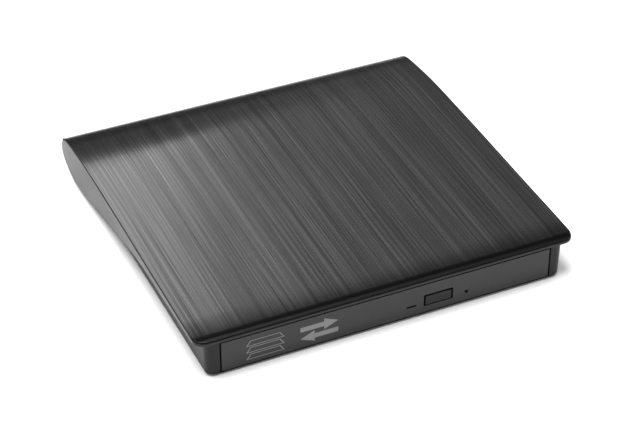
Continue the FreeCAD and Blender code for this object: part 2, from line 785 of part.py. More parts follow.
def make_dampers():
    dampers = group("rubber_dampers", [
        fuse(f"damper_{number}", [
            rod(f"damper_low_{number}", 1.2, (s.skirt_under, s.frame_top), along, across),
            rod(f"damper_top_{number}", 2.0, (s.frame_top, 5.4), along, across)])
        for number, (along, across) in enumerate(DAMPER_PLACES, start=1)])
    on_the_sled_frame(dampers)
    return dampers


def make_motor_stator():
    stator = new_body("motor_stator")
    pad(stator, "XY", (s.frame_top, 5.2), circle(0, 0, 13.0))
    pad(stator, "XY", (5.1, 6.1), circle(0, 0, 10.6))
    pocket(stator, "XY", (4.7, 6.1), circle(0, 0, s.spindle_radius + s.running_gap))
    on_the_sled_frame(stator)
    return stator


def make_sled_motor():
    motor = new_body("sled_motor")
    make_lying_rod(motor, (-6.0, 12.0), s.screw_across, s.screw_height, 2.1)
    pocket(motor, "YZ", (11.0, 12.0),
           circle(s.screw_across, s.screw_height, 0.65))
    on_the_sled_frame(motor)
    return motor


def make_lead_screw():
    screw = new_body("lead_screw")
    make_lying_rod(screw, (11.2, 12.4), s.screw_across, s.screw_height, 0.6)
    make_lying_rod(screw, (12.2, 56.8), s.screw_across, s.screw_height, 1.0)
    make_lying_rod(screw, (56.7, 58.3), s.screw_across, s.screw_height, 0.6)
    on_the_sled_frame(screw)
    return screw


def make_motor_rotor():
    rotor = new_body("motor_rotor")
    pad(rotor, "XY", (4.8, 6.5), circle(0, 0, s.spindle_radius))
    pad(rotor, "XY", (6.3, 9.4), circle(0, 0, 12.0))
    on_the_sled_frame(rotor)
    return rotor


def make_turntable():
    table = new_body("turntable")
    pad(table, "XY", (9.4, 10.2), circle(0, 0, 14.6))
    pad(table, "XY", (10.1, 12.0), circle(0, 0, 7.3))
    pocket(table, "XY", (11.2, 12.0), circle(0, 0, 4.2), circle(0, 0, 1.4))
    for number in range(3):
        turn = math.radians(120.0 * number)
        x, y = CLAMP_RADIUS * math.cos(turn), CLAMP_RADIUS * math.sin(turn)
        pocket(table, "XY", (10.9, 12.0), circle(x, y, 1.15))
    on_the_sled_frame(table)
    return table


def make_turntable_ring():
    ring = new_body("turntable_ring")
    pad(ring, "XY", (10.2, 10.45), circle(0, 0, 14.4), circle(0, 0, 12.6))
    on_the_sled_frame(ring)
    return ring


def make_disc_clamps():
    clamps = []
    for number in range(3):
        turn = math.radians(120.0 * number)
        x, y = CLAMP_RADIUS * math.cos(turn), CLAMP_RADIUS * math.sin(turn)
        clamps.append(rod(f"disc_clamp_{number + 1}", 1.0, (10.9, 11.8), x, y))
    clamps_group = group("disc_clamps", clamps)
    on_the_sled_frame(clamps_group)
    return clamps_group


def make_pickup_base():
    pickup = new_body("pickup_base")
    top = 7.6
    pad(pickup, "XY", (4.9, top), rectangle((PICKUP_BACK, PICKUP_TIP), (-11.0, 14.0)))
    pad(pickup, "XY", (4.9, top), rectangle((PICKUP_BACK, BUSH_END), (-16.2, 19.2)))
    bore = s.rod_radius + s.running_gap
    for across in (s.rod_left, s.rod_right):
        pocket(pickup, "YZ", (PICKUP_BACK, BUSH_END), circle(across, s.rod_height, bore))
    pocket(pickup, "XY", (6.0, top), circle(s.lens_start, 0, 2.4))
    on_the_sled_frame(pickup)
    return pickup


def make_pickup_details():
    cover = new_body("pickup_cover")
    pad(cover, "XY", (7.6, 7.7), rectangle((15.6, 28.4), (-10.4, 13.4)))
    pocket(cover, "XY", (7.6, 7.7), rectangle((18.9, 27.1), (-4.6, 4.6)))
    rack = new_body("pickup_rack")
    pad(rack, "XY", (6.3, 7.2), rectangle((16.0, 20.0), (-17.9, -16.2)))
    holder = new_body("lens_holder")
    pad(holder, "XY", (8.0, 8.4), rectangle((19.4, 26.6), (-4.0, 4.0)))
    pocket(holder, "XY", (8.0, 8.4), circle(s.lens_start, 0, 1.8))
    lens = new_body("objective_lens")
    pad(lens, "XY", (8.0, 8.55), circle(s.lens_start, 0, 1.8))
    pieces = [cover, rack, holder, lens]
    for piece in pieces:
        on_the_sled_frame(piece)
    return pieces


def make_latch_lever():
    lever = new_body("latch_lever")
    x, depth = LEVER_PIVOT
    heights = (4.2, 5.0)
    pad(lever, "XY", heights, circle(x, deep(depth), 1.7))
    pad(lever, "XY", heights, polygon(
        (x - 1.4, deep(depth)), (x + 0.8, deep(depth)), (x + 0.8, deep(depth + 9.4)),
        (x - 3.5, deep(depth + 9.4)), (x - 3.5, deep(depth + 8.1)),
        (x - 1.4, deep(depth + 8.1))))
    pad(lever, "XY", heights, rectangle((x - 6.0, x), deeps(depth - 1.5, depth - 0.2)))
    pocket(lever, "XY", heights, circle(x, deep(depth), 0.95))
    return lever


def make_eject_button():
    button = new_body("eject_button")
    pad(button, "XZ", deeps(0.0, 2.2), rectangle((14.0, 24.3), (4.5, 8.4)))
    pad(button, "XZ", deeps(2.1, 2.9), rectangle((12.9, 25.4), (3.9, 9.2)))
    pad(button, "XZ", deeps(2.8, 7.3), rectangle((18.2, 20.2), (5.6, 7.2)))
    return button


NODES = [
    make_top_skin(), make_upper_shell(), make_base_shell(), make_rubber_feet(),
    make_housing_screws(), make_drive_screws(), make_bridge_board(), make_usb_socket(),
    make_usb_tongue(), *make_bridge_parts(), make_drive_pan(), make_drive_lid(),
    make_lid_screws(), make_guide("guide_left", -1), make_guide("guide_right", 1),
    make_drive_board(), make_sata_socket(), make_latch_post(),
    make_ribbon("ribbon_lower", s.ribbon_low, deeps(s.ribbon_fold, 123.6), True),
    make_ribbon("ribbon_upper", s.ribbon_high, deeps(s.ribbon_fold, 119.0), False),
    make_rail("rail_left", -1), make_rail("rail_right", 1), make_disc_tray(),
    make_front_bezel(), make_light_guide(), *make_tray_electronics(), make_tray_shield(),
    make_latch_solenoid(), *make_ejector(), make_mechanism_frame(), make_mechanism_cover(),
    make_guide_rods(), make_dampers(), make_motor_stator(), make_sled_motor(),
    make_lead_screw(), make_motor_rotor(), make_turntable(), make_turntable_ring(),
    make_disc_clamps(), make_pickup_base(), *make_pickup_details(), make_latch_lever(),
    make_eject_button(),
]


# --- Check and write -----------------------------------------------------------------------

doc.recompute()
for item in doc.Objects:
    if "Invalid" in item.State or "Error" in item.State:
        raise RuntimeError(f"{item.Label} did not recompute: {item.State}")

os.makedirs("parts", exist_ok=True)
for node in NODES:
    if node.Shape.isNull() or not node.Shape.isValid() or not node.Shape.Solids:
        raise RuntimeError(f"{node.Label} has no valid solid")
    node.Shape.exportStep(f"parts/{node.Label}.step")
    print(f"{node.Label:20s} {len(node.Shape.Solids):2d} solids {node.Shape.Volume:10.2f} mm3")
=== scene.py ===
import json
import math

import bmesh
import bpy
import numpy as np
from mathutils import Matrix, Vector

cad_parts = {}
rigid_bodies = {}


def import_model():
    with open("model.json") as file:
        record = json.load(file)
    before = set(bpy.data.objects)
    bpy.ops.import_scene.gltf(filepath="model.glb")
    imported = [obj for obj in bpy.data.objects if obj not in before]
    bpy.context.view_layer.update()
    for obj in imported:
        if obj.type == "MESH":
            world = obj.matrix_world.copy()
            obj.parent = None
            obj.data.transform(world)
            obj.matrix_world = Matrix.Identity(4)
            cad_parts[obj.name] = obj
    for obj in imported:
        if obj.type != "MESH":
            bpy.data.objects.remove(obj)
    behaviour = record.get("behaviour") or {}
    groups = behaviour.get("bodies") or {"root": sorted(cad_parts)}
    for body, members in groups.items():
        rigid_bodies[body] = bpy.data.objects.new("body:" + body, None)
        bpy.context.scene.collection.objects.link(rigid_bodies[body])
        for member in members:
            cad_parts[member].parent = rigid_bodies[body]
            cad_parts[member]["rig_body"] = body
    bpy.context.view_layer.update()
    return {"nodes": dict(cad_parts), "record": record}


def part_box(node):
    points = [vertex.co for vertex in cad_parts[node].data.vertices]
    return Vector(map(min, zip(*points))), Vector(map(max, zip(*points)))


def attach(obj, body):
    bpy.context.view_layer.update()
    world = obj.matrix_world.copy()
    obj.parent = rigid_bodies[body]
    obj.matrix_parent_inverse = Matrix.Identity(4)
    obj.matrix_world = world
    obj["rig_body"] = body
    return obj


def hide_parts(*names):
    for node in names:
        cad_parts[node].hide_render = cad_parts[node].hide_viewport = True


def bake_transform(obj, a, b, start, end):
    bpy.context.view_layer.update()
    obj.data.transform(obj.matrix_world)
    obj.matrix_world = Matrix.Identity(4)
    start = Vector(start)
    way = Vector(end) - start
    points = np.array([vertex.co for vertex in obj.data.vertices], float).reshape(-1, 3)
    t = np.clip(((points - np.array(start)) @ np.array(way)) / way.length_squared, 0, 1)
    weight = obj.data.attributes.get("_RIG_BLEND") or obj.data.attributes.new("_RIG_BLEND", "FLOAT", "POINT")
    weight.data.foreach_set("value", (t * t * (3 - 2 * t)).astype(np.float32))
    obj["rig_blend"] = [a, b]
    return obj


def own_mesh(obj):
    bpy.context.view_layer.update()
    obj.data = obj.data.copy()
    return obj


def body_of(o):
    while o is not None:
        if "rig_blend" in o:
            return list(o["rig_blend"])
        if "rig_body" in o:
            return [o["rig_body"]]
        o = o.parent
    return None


# The looks of a slim external optical drive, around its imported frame. Lengths are metres in
# the frame's own axes: X to the right, Y to the rear, Z up, and MM turns millimetres into
# metres. Depths are measured back from the front face of the tray's bezel.

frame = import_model()
MM = 0.001
nodes = frame["nodes"]

# --- Places read from the frame ---------------------------

bezel_low, bezel_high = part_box("front_bezel")
shell_low, shell_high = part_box("upper_shell")
skin_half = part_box("top_skin")[1].x
base_low, base_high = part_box("base_shell")
usb_low, usb_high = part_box("usb_socket")

FRONT = bezel_low.y
SKIN_THICKNESS = 0.7 * MM
RIM_UNDER = 15.5 * MM
CAVITY_HALF = 69.95 * MM
OPENING_HALF = 64.55 * MM
PILLAR_DEPTH = 6.5
BASE_WALL = 1.5 * MM
BASE_DRAFT = 0.5 * MM
COVER_CORNER = 4.5 * MM
REAR_CORNER = 0.8 * MM
CORNER_STEPS = 14
PROFILE_STEPS = 150


def deep(millimetres):
    """The Y of a point this many millimetres behind the bezel's front face."""
    return FRONT + millimetres * MM


def on_both_sides(x, depths):
    """The places at x millimetres left and right, at each depth in millimetres."""
    return [(side * x * MM, deep(depth)) for side in (-1, 1) for depth in depths]


PILLAR_PLACES = on_both_sides(66.85, (3.4, 121.0))
DRIVE_PLACES = on_both_sides(55.0, (28.0, 105.0))
LID_PLACES = on_both_sides(61.6, (9.0, 124.6))
FOOT_PLACES = on_both_sides(56.0, (10.0, 118.0))

# Openings in the bezel's face, as X and Z spans in millimetres, and the pin hole.
BUTTON_OPENING = ((13.4, 24.9), (4.2, 9.0))
LIGHT_SLOT = ((6.6, 10.4), (5.2, 5.8))
PIN_X, PIN_Z, PIN_RADIUS = 30.4 * MM, 5.33 * MM, 0.65 * MM

# The two layers of the flat ribbon: heights, and the depth where it folds over, in millimetres.
RIBBON_LOWER, RIBBON_UPPER, RIBBON_FOLD = 2.375, 3.075, 57.0
RIBBON_SPAN = (2.0 * MM, 18.0 * MM)
RIBBON_THICKNESS = 0.13 * MM


# --- Outlines ---------------------------------------------

# The cover's side profile as depth and height in millimetres, over the top and back under.
TOP_LINE = (
    (-1.4, 17.2), (3.8, 17.4), (19.4, 17.75), (43.3, 18.15), (68.0, 18.7), (95.0, 19.0),
    (115.0, 18.8), (127.0, 17.95), (135.8, 16.6), (139.2, 14.75), (140.5, 12.2),
)
UNDER_LINE = (
    (140.5, 12.2), (141.0, 9.4), (140.1, 7.1), (138.0, 5.3), (132.5, 3.2), (125.5, 2.2),
    (119.0, 2.7), (108.4, 4.9), (95.8, 7.6), (79.2, 10.3), (63.7, 12.7), (48.6, 14.2),
    (23.4, 14.8), (-1.6, 15.5),
)

# The hollow in the cover, in the same way, up to where it meets the rim.
CAVITY_LINE = (
    (-3.0, 0.2), (132.2, 0.2), (132.2, 5.2), (136.5, 7.0), (138.2, 10.0), (137.2, 13.0),
    (134.0, 14.8), (127.0, 16.1), (115.0, 16.8), (95.0, 17.0), (68.0, 16.7), (43.0, 16.1),
)


def smooth_curve(points, count):
    """Points spaced along a natural cubic spline through the given ones."""
    knots = np.array(points, float)
    steps = np.linalg.norm(np.diff(knots, axis=0), axis=1)
    along = np.concatenate(([0.0], np.cumsum(steps)))
    size = len(knots)
    matrix = np.zeros((size, size))
    right = np.zeros((size, knots.shape[1]))
    matrix[0, 0] = matrix[-1, -1] = 1.0
    for i in range(1, size - 1):
        before, after = steps[i - 1], steps[i]
        matrix[i, i - 1:i + 2] = before, 2.0 * (before + after), after
        right[i] = 6.0 * ((knots[i + 1] - knots[i]) / after - (knots[i] - knots[i - 1]) / before)
    bend = np.linalg.solve(matrix, right)
    result = []
    for t in np.linspace(0.0, along[-1], count):
        i = min(int(np.searchsorted(along, t, side="right")) - 1, size - 2)
        width = steps[i]
        a, b = (along[i + 1] - t) / width, (t - along[i]) / width
        result.append(a * knots[i] + b * knots[i + 1] + width * width / 6.0 * (
            (a ** 3 - a) * bend[i] + (b ** 3 - b) * bend[i + 1]))
    return np.array(result)


def in_frame(points):
    """Profile points as Y and Z in the frame."""
    return np.column_stack((FRONT + points[:, 0] * MM, points[:, 1] * MM))


def offset_line(points, distance):
    """A line of points moved square to its own run, to the right as it goes."""
    run = np.gradient(points, axis=0)
    run /= np.linalg.norm(run, axis=1)[:, None]
    return points + np.column_stack((run[:, 1], -run[:, 0])) * distance


def rounded_rectangle(x_span, y_span, radii):
    """An outline that runs round from the front right corner. radii: the front and rear ones."""
    (x0, x1), (y0, y1) = x_span, y_span
    corners = ((x1, y0, -90.0, radii[0]), (x1, y1, 0.0, radii[1]),
               (x0, y1, 90.0, radii[1]), (x0, y0, 180.0, radii[0]))
    points = []
    for x, y, start, radius in corners:
        centre_x = x - math.copysign(radius, x - (x0 + x1) / 2)
        centre_y = y - math.copysign(radius, y - (y0 + y1) / 2)
        for step in range(CORNER_STEPS + 1):
            turn = math.radians(start + 90.0 * step / CORNER_STEPS)
            points.append((centre_x + radius * math.cos(turn),
                           centre_y + radius * math.sin(turn)))
    return points


def round_outline(x, y, radius, steps=40):
    return [(x + radius * math.cos(2 * math.pi * i / steps),
             y + radius * math.sin(2 * math.pi * i / steps)) for i in range(steps)]


# --- Meshes -----------------------------------------------

def mesh_object(name, vertices, faces):
    """An object made from points and faces, with its faces turned outwards."""
    mesh = bpy.data.meshes.new(name)
    mesh.from_pydata([tuple(v) for v in vertices], [], faces)
    mesh.validate()
    made = bpy.data.objects.new(name, mesh)
    bpy.context.scene.collection.objects.link(made)
    shape = bmesh.new()
    shape.from_mesh(mesh)
    bmesh.ops.recalc_face_normals(shape, faces=shape.faces)
    shape.to_mesh(mesh)
    shape.free()
    return made


AXIS_ORDER = {"X": (2, 0, 1), "Y": (0, 2, 1), "Z": (0, 1, 2)}


def loft(name, axis, rings):
    """A closed solid through rings of matching points, each ring an outline and its level."""
    order = AXIS_ORDER[axis]
    count = len(rings[0][0])
    vertices = []
    for outline, level in rings:
        for a, b in outline:
            point = (a, b, level)
            vertices.append([point[k] for k in order])
    faces = []
    for ring in range(len(rings) - 1):
        for i in range(count):
            j = (i + 1) % count
            low, high = ring * count, (ring + 1) * count
            faces.append((low + i, low + j, high + j, high + i))
    faces.append(tuple(range(count)))
    faces.append(tuple(range((len(rings) - 1) * count, len(rings) * count)))
    return mesh_object(name, vertices, faces)


def prism(name, axis, outline, low, high):
    """A solid of one outline between two levels along an axis."""
    return loft(name, axis, [(outline, low), (outline, high)])


def box_piece(name, low, high):
    outline = [(low[0], low[1]), (high[0], low[1]), (high[0], high[1]), (low[0], high[1])]
    return prism(name, "Z", outline, low[2], high[2])


def apply_modifiers(piece):
    """Put the piece's evaluated mesh in place of its mesh and modifiers."""
    depsgraph = bpy.context.evaluated_depsgraph_get()
    made = bpy.data.meshes.new_from_object(piece.evaluated_get(depsgraph))
    piece.modifiers.clear()
    old = piece.data
    piece.data = made
    bpy.data.meshes.remove(old)


def combine(piece, tools, operation):
    """Cut, join or intersect a piece with tools, which are used up."""
    for tool in tools:
        modifier = piece.modifiers.new("combine", "BOOLEAN")
        modifier.operation = operation
        modifier.solver = "EXACT"
        modifier.object = tool
        apply_modifiers(piece)
        bpy.data.objects.remove(tool)
    return piece


def finish_edges(piece, width, segments=3, angle=35.0):
    """Round the sharp edges a little and shade everything else smoothly."""
    if width:
        bevel = piece.modifiers.new("bevel", "BEVEL")
        bevel.width = width
        bevel.segments = segments
        bevel.limit_method = "ANGLE"
        bevel.angle_limit = math.radians(angle)
        bevel.use_clamp_overlap = False
        bevel.harden_normals = False
        apply_modifiers(piece)
    piece.data.shade_smooth()
    piece.data.set_sharp_from_angle(angle=math.radians(angle))
    weighted = piece.modifiers.new("weighted", "WEIGHTED_NORMAL")
    weighted.keep_sharp = True
    weighted.weight = 60
    apply_modifiers(piece)
    return piece


def flat_uv(piece):
    """A UV map that runs along X and Y, so that a brushed finish knows its direction."""
    layer = piece.data.uv_layers.new(name="brush")
    for loop in piece.data.loops:
        place = piece.data.vertices[loop.vertex_index].co
        layer.data[loop.index].uv = (place.x * 5.0 + 0.5, place.y * 5.0 + 0.5)


# --- Housing pieces ---------------------------------------

top_line = in_frame(smooth_curve(TOP_LINE, PROFILE_STEPS))
roof_line = offset_line(top_line, SKIN_THICKNESS)
under_line = in_frame(smooth_curve(UNDER_LINE, PROFILE_STEPS))


def make_top_skin():
    """The brushed sheet over the cover, bent to its top line."""
    outline = list(top_line) + list(roof_line[::-1])
    skin = prism("top_skin_sheet", "X", outline, -skin_half, skin_half)
    plan = rounded_rectangle((-skin_half, skin_half), (top_line[0][0], shell_high.y + MM),
                             (COVER_CORNER, REAR_CORNER))
    combine(skin, [prism("trim", "Z", plan, 0.0, 30 * MM)], "INTERSECT")
    finish_edges(skin, 0.16 * MM)
    flat_uv(skin)
    return skin


def make_upper_shell():
    """The cover below the skin, and the bar under its front rim."""
    half = shell_high.x
    gap = 0.35 * MM
    nose = [(shell_low.y, under_line[-1][1]), (shell_low.y, roof_line[0][1])]
    outline = list(roof_line) + list(under_line) + nose[1:]
    shell = prism("cover_shell", "X", outline, -half, half)
    plan = rounded_rectangle((-half, half), (shell_low.y, shell_high.y + MM),
                             (COVER_CORNER, REAR_CORNER))
    combine(shell, [prism("trim", "Z", plan, -1 * MM, 30 * MM)], "INTERSECT")
    cavity = [(deep(depth), height * MM) for depth, height in CAVITY_LINE]
    cavity += [(deep(12.0), RIM_UNDER), (deep(-3.0), RIM_UNDER)]
    port = rounded_rectangle((usb_low.x - gap, usb_high.x + gap),
                             (usb_low.z - gap, usb_high.z + gap), (MM, MM))
    combine(shell, [prism("cavity", "X", cavity, -CAVITY_HALF, CAVITY_HALF),
                    prism("port", "Y", port, deep(134.0), deep(142.0))], "DIFFERENCE")
    finish_edges(shell, 0.14 * MM, 2)
    bar = box_piece("cover_soffit", (-OPENING_HALF + 0.1 * MM, deep(0.2), 14.15 * MM),
                    (OPENING_HALF - 0.1 * MM, deep(5.0), RIM_UNDER))
    finish_edges(bar, 0.1 * MM, 2)
    return shell, bar


def make_base_shell():
    """The base tub, open at the front, with its screw bores and the seats of the feet."""
    bottom, top = base_low.z, base_high.z
    half, depth = base_high.x, base_high.y
    corner = 3.0 * MM
    edge = 0.6 * MM

    def ring(inset, level):
        drawn_in = inset + BASE_DRAFT * (top - level) / (top - bottom)
        return (rounded_rectangle((-half + drawn_in, half - drawn_in),
                                  (FRONT + inset, depth - inset),
                                  (corner - inset, 1.2 * MM)), level)

    rings = []
    for step in range(5):
        turn = math.radians(90.0 * step / 4)
        rings.append(ring(edge * (1 - math.sin(turn)), bottom + edge * (1 - math.cos(turn))))
    base = loft("base_tub", "Z", rings + [ring(0.0, top)])
    inside = half - BASE_DRAFT - BASE_WALL
    tools = [
        box_piece("hollow", (-inside, deep(PILLAR_DEPTH), 1.4 * MM),
                  (inside, depth - BASE_WALL, 20 * MM)),
        box_piece("mouth", (-OPENING_HALF, deep(-1.0), 1.1 * MM),
                  (OPENING_HALF, deep(6.6), 20 * MM)),
        box_piece("rear", (-half - MM, deep(124.0), 5.4 * MM),
                  (half + MM, depth + MM, 20 * MM))]
    for places, radius, height in ((PILLAR_PLACES, 1.95, 2.2), (DRIVE_PLACES, 1.6, 1.1),
                                   (FOOT_PLACES, 4.6, 0.85)):
        for x, y in places:
            bore = round_outline(x, y, radius * MM)
            tools.append(prism("bore", "Z", bore, 0.0, height * MM))
    combine(base, tools, "DIFFERENCE")
    return finish_edges(base, 0.1 * MM, 2)


def make_bezel():
    """The tray's front panel, hollow behind, with its three openings."""
    bezel = box_piece("bezel_panel", bezel_low, bezel_high)
    wall = 1.2 * MM
    tools = [box_piece("hollow", (bezel_low.x + wall, deep(2.0), bezel_low.z + wall),
                       (bezel_high.x - wall, deep(6.0), bezel_high.z - wall))]
    for x_span, z_span in (BUTTON_OPENING, LIGHT_SLOT):
        x0, x1 = (x * MM for x in x_span)
        z0, z1 = (z * MM for z in z_span)
        corner = min(0.45 * MM, (z1 - z0) * 0.4)
        hole = rounded_rectangle((x0, x1), (z0, z1), (corner, corner))
        tools.append(prism("hole", "Y", hole, deep(-1.0), deep(3.0)))
    tools.append(prism("pin", "Y", round_outline(PIN_X, PIN_Z, PIN_RADIUS, 24),
                       deep(-1.0), deep(3.0)))
    combine(bezel, tools, "DIFFERENCE")
    return finish_edges(bezel, 0.14 * MM, 3)


def make_button():
    """The eject button: its cap, the flange that holds it in, and the stem behind."""
    face = rounded_rectangle((14.0 * MM, 24.3 * MM), (4.5 * MM, 8.4 * MM), (0.4 * MM, 0.4 * MM))
    button = prism("button_cap", "Y", face, deep(0.0), deep(2.15))
    flange = box_piece("flange", (12.9 * MM, deep(2.1), 3.9 * MM),
                       (25.4 * MM, deep(2.9), 9.2 * MM))
    stem = box_piece("stem", (18.2 * MM, deep(2.8), 5.6 * MM), (20.2 * MM, deep(7.3), 7.2 * MM))
    combine(button, [flange, stem], "UNION")
    return finish_edges(button, 0.16 * MM, 3)


# --- Finishes ---------------------------------------------

# Where a Mix node keeps its colour sockets, whose names its other kinds share.
COLOUR_A, COLOUR_B, COLOUR_RESULT = 6, 7, 2


class Finish:
    """A procedural material, with short ways of adding its nodes."""

    def __init__(self, name):
        self.material = bpy.data.materials.new(name)
        self.material.use_nodes = True
        self.tree = self.material.node_tree
        self.shader = self.tree.nodes["Principled BSDF"]
        self.place = self.tree.nodes.new("ShaderNodeTexCoord").outputs["Object"]

    def node(self, kind, **inputs):
        made = self.tree.nodes.new(kind)
        for name, value in inputs.items():
            self.feed(made.inputs[name.replace("_", " ")], value)
        return made

    def feed(self, socket, value):
        if isinstance(value, bpy.types.NodeSocket):
            self.tree.links.new(value, socket)
        else:
            socket.default_value = value

    def constant(self, **inputs):
        for name, value in inputs.items():
            self.shader.inputs[name.replace("_", " ")].default_value = value

    def drive(self, name, value):
        self.feed(self.shader.inputs[name], value)

    def stretched(self, scale, place=None):
        """The place on the piece with each axis scaled, for grain that runs one way."""
        mapping = self.tree.nodes.new("ShaderNodeMapping")
        mapping.inputs["Scale"].default_value = scale
        self.tree.links.new(place or self.place, mapping.inputs["Vector"])
        return mapping.outputs["Vector"]

    def turned_place(self, degrees):
        """The place on the piece, turned a little about Z."""
        mapping = self.tree.nodes.new("ShaderNodeMapping")
        mapping.inputs["Rotation"].default_value = (0.0, 0.0, math.radians(degrees))
        self.tree.links.new(self.place, mapping.inputs["Vector"])
        return mapping.outputs["Vector"]

    def noise(self, scale, detail=3.0, roughness=0.55, place=None, distortion=0.0):
        made = self.node("ShaderNodeTexNoise", Scale=scale, Detail=detail, Roughness=roughness,
                         Distortion=distortion)
        self.tree.links.new(place or self.place, made.inputs["Vector"])
        return made.outputs["Fac"]

    def cells(self, scale):
        made = self.node("ShaderNodeTexVoronoi", Scale=scale)
        self.tree.links.new(self.place, made.inputs["Vector"])
        return made.outputs["Distance"]

    def fit(self, value, low, high, to_low, to_high):
        made = self.tree.nodes.new("ShaderNodeMapRange")
        self.feed(made.inputs["Value"], value)
        for name, number in (("From Min", low), ("From Max", high),
                             ("To Min", to_low), ("To Max", to_high)):
            made.inputs[name].default_value = number
        return made.outputs["Result"]

    def maths(self, operation, a, b=0.0):
        made = self.tree.nodes.new("ShaderNodeMath")
        made.operation = operation
        self.feed(made.inputs[0], a)
        self.feed(made.inputs[1], b)
        return made.outputs["Value"]

    def blend_colours(self, amount, a, b):
        """Colour a where the amount is nought, and b where it is one."""
        made = self.tree.nodes.new("ShaderNodeMix")
        made.data_type = "RGBA"
        self.feed(made.inputs["Factor"], amount)
        self.feed(made.inputs[COLOUR_A], a)
        self.feed(made.inputs[COLOUR_B], b)
        return made.outputs[COLOUR_RESULT]

    def bump(self, *layers):
        """Bumps from (height, depth in metres) layers, one on top of the other."""
        normal = None
        for height, distance in layers:
            made = self.tree.nodes.new("ShaderNodeBump")
            made.inputs["Strength"].default_value = 1.0
            made.inputs["Distance"].default_value = distance
            self.tree.links.new(height, made.inputs["Height"])
            if normal is not None:
                self.tree.links.new(normal, made.inputs["Normal"])
            normal = made.outputs["Normal"]
        self.tree.links.new(normal, self.shader.inputs["Normal"])

    def edge_wear(self, radius):
        """How much a point is on a worn edge: one on the sharp edges and nought on the flats."""
        rounded = self.tree.nodes.new("ShaderNodeBevel")
        rounded.samples = 4
        rounded.inputs["Radius"].default_value = radius
        shape = self.tree.nodes.new("ShaderNodeNewGeometry")
        dot = self.tree.nodes.new("ShaderNodeVectorMath")
        dot.operation = "DOT_PRODUCT"
        self.tree.links.new(rounded.outputs["Normal"], dot.inputs[0])
        self.tree.links.new(shape.outputs["Normal"], dot.inputs[1])
        return self.fit(dot.outputs["Value"], 1.0, 0.82, 0.0, 1.0)

    def axis(self, letter):
        split = self.tree.nodes.new("ShaderNodeSeparateXYZ")
        self.tree.links.new(self.place, split.inputs["Vector"])
        return split.outputs[letter]


def grey(value, tint=(1.0, 1.0, 1.0)):
    return (value * tint[0], value * tint[1], value * tint[2], 1.0)


def plastic(name, colour, rough=0.42, grain=3.0e-6, grain_scale=9000.0, wear=0.35, worn=None,
            specular=0.5, variation=0.08, coat=0.0):
    """A moulded plastic: spark-eroded grain, faint mottling, dust and rubbed edges."""
    finish = Finish(name)
    patches = finish.noise(42.0, 4.0, 0.6)
    grains = finish.noise(grain_scale, 2.0, 0.5)
    specks = finish.cells(2600.0)
    lighter = tuple(min(1.0, part * (1.0 + 2.0 * variation) + 0.002) for part in colour[:3])
    darker = tuple(part * (1.0 - variation) for part in colour[:3])
    tone = finish.blend_colours(finish.fit(patches, 0.3, 0.7, 0.0, 1.0),
                                darker + (1.0,), lighter + (1.0,))
    dust = finish.fit(finish.noise(650.0, 5.0, 0.7), 0.62, 0.8, 0.0, 0.12)
    tone = finish.blend_colours(dust, tone, grey(min(0.5, sum(colour[:3]) / 3 + 0.12)))
    edges = finish.maths("MULTIPLY", finish.edge_wear(0.00022),
                         finish.fit(finish.noise(900.0, 4.0), 0.35, 0.7, 0.1, wear))
    rubbed = worn or grey(min(0.8, sum(colour[:3]) / 3 * 2.2 + 0.02))
    finish.drive("Base Color", finish.blend_colours(edges, tone, rubbed))
    smear = finish.fit(finish.noise(18.0, 5.0, 0.65, distortion=0.6), 0.3, 0.7,
                       rough - 0.05, rough + 0.07)
    finish.drive("Roughness", finish.maths("ADD", smear, finish.fit(specks, 0.0, 0.6, 0.02, -0.02)))
    finish.constant(Specular_IOR_Level=specular, Coat_Weight=coat, Coat_Roughness=0.2)
    finish.bump((grains, grain), (finish.noise(1800.0, 3.0), grain * 0.7))
    return finish.material


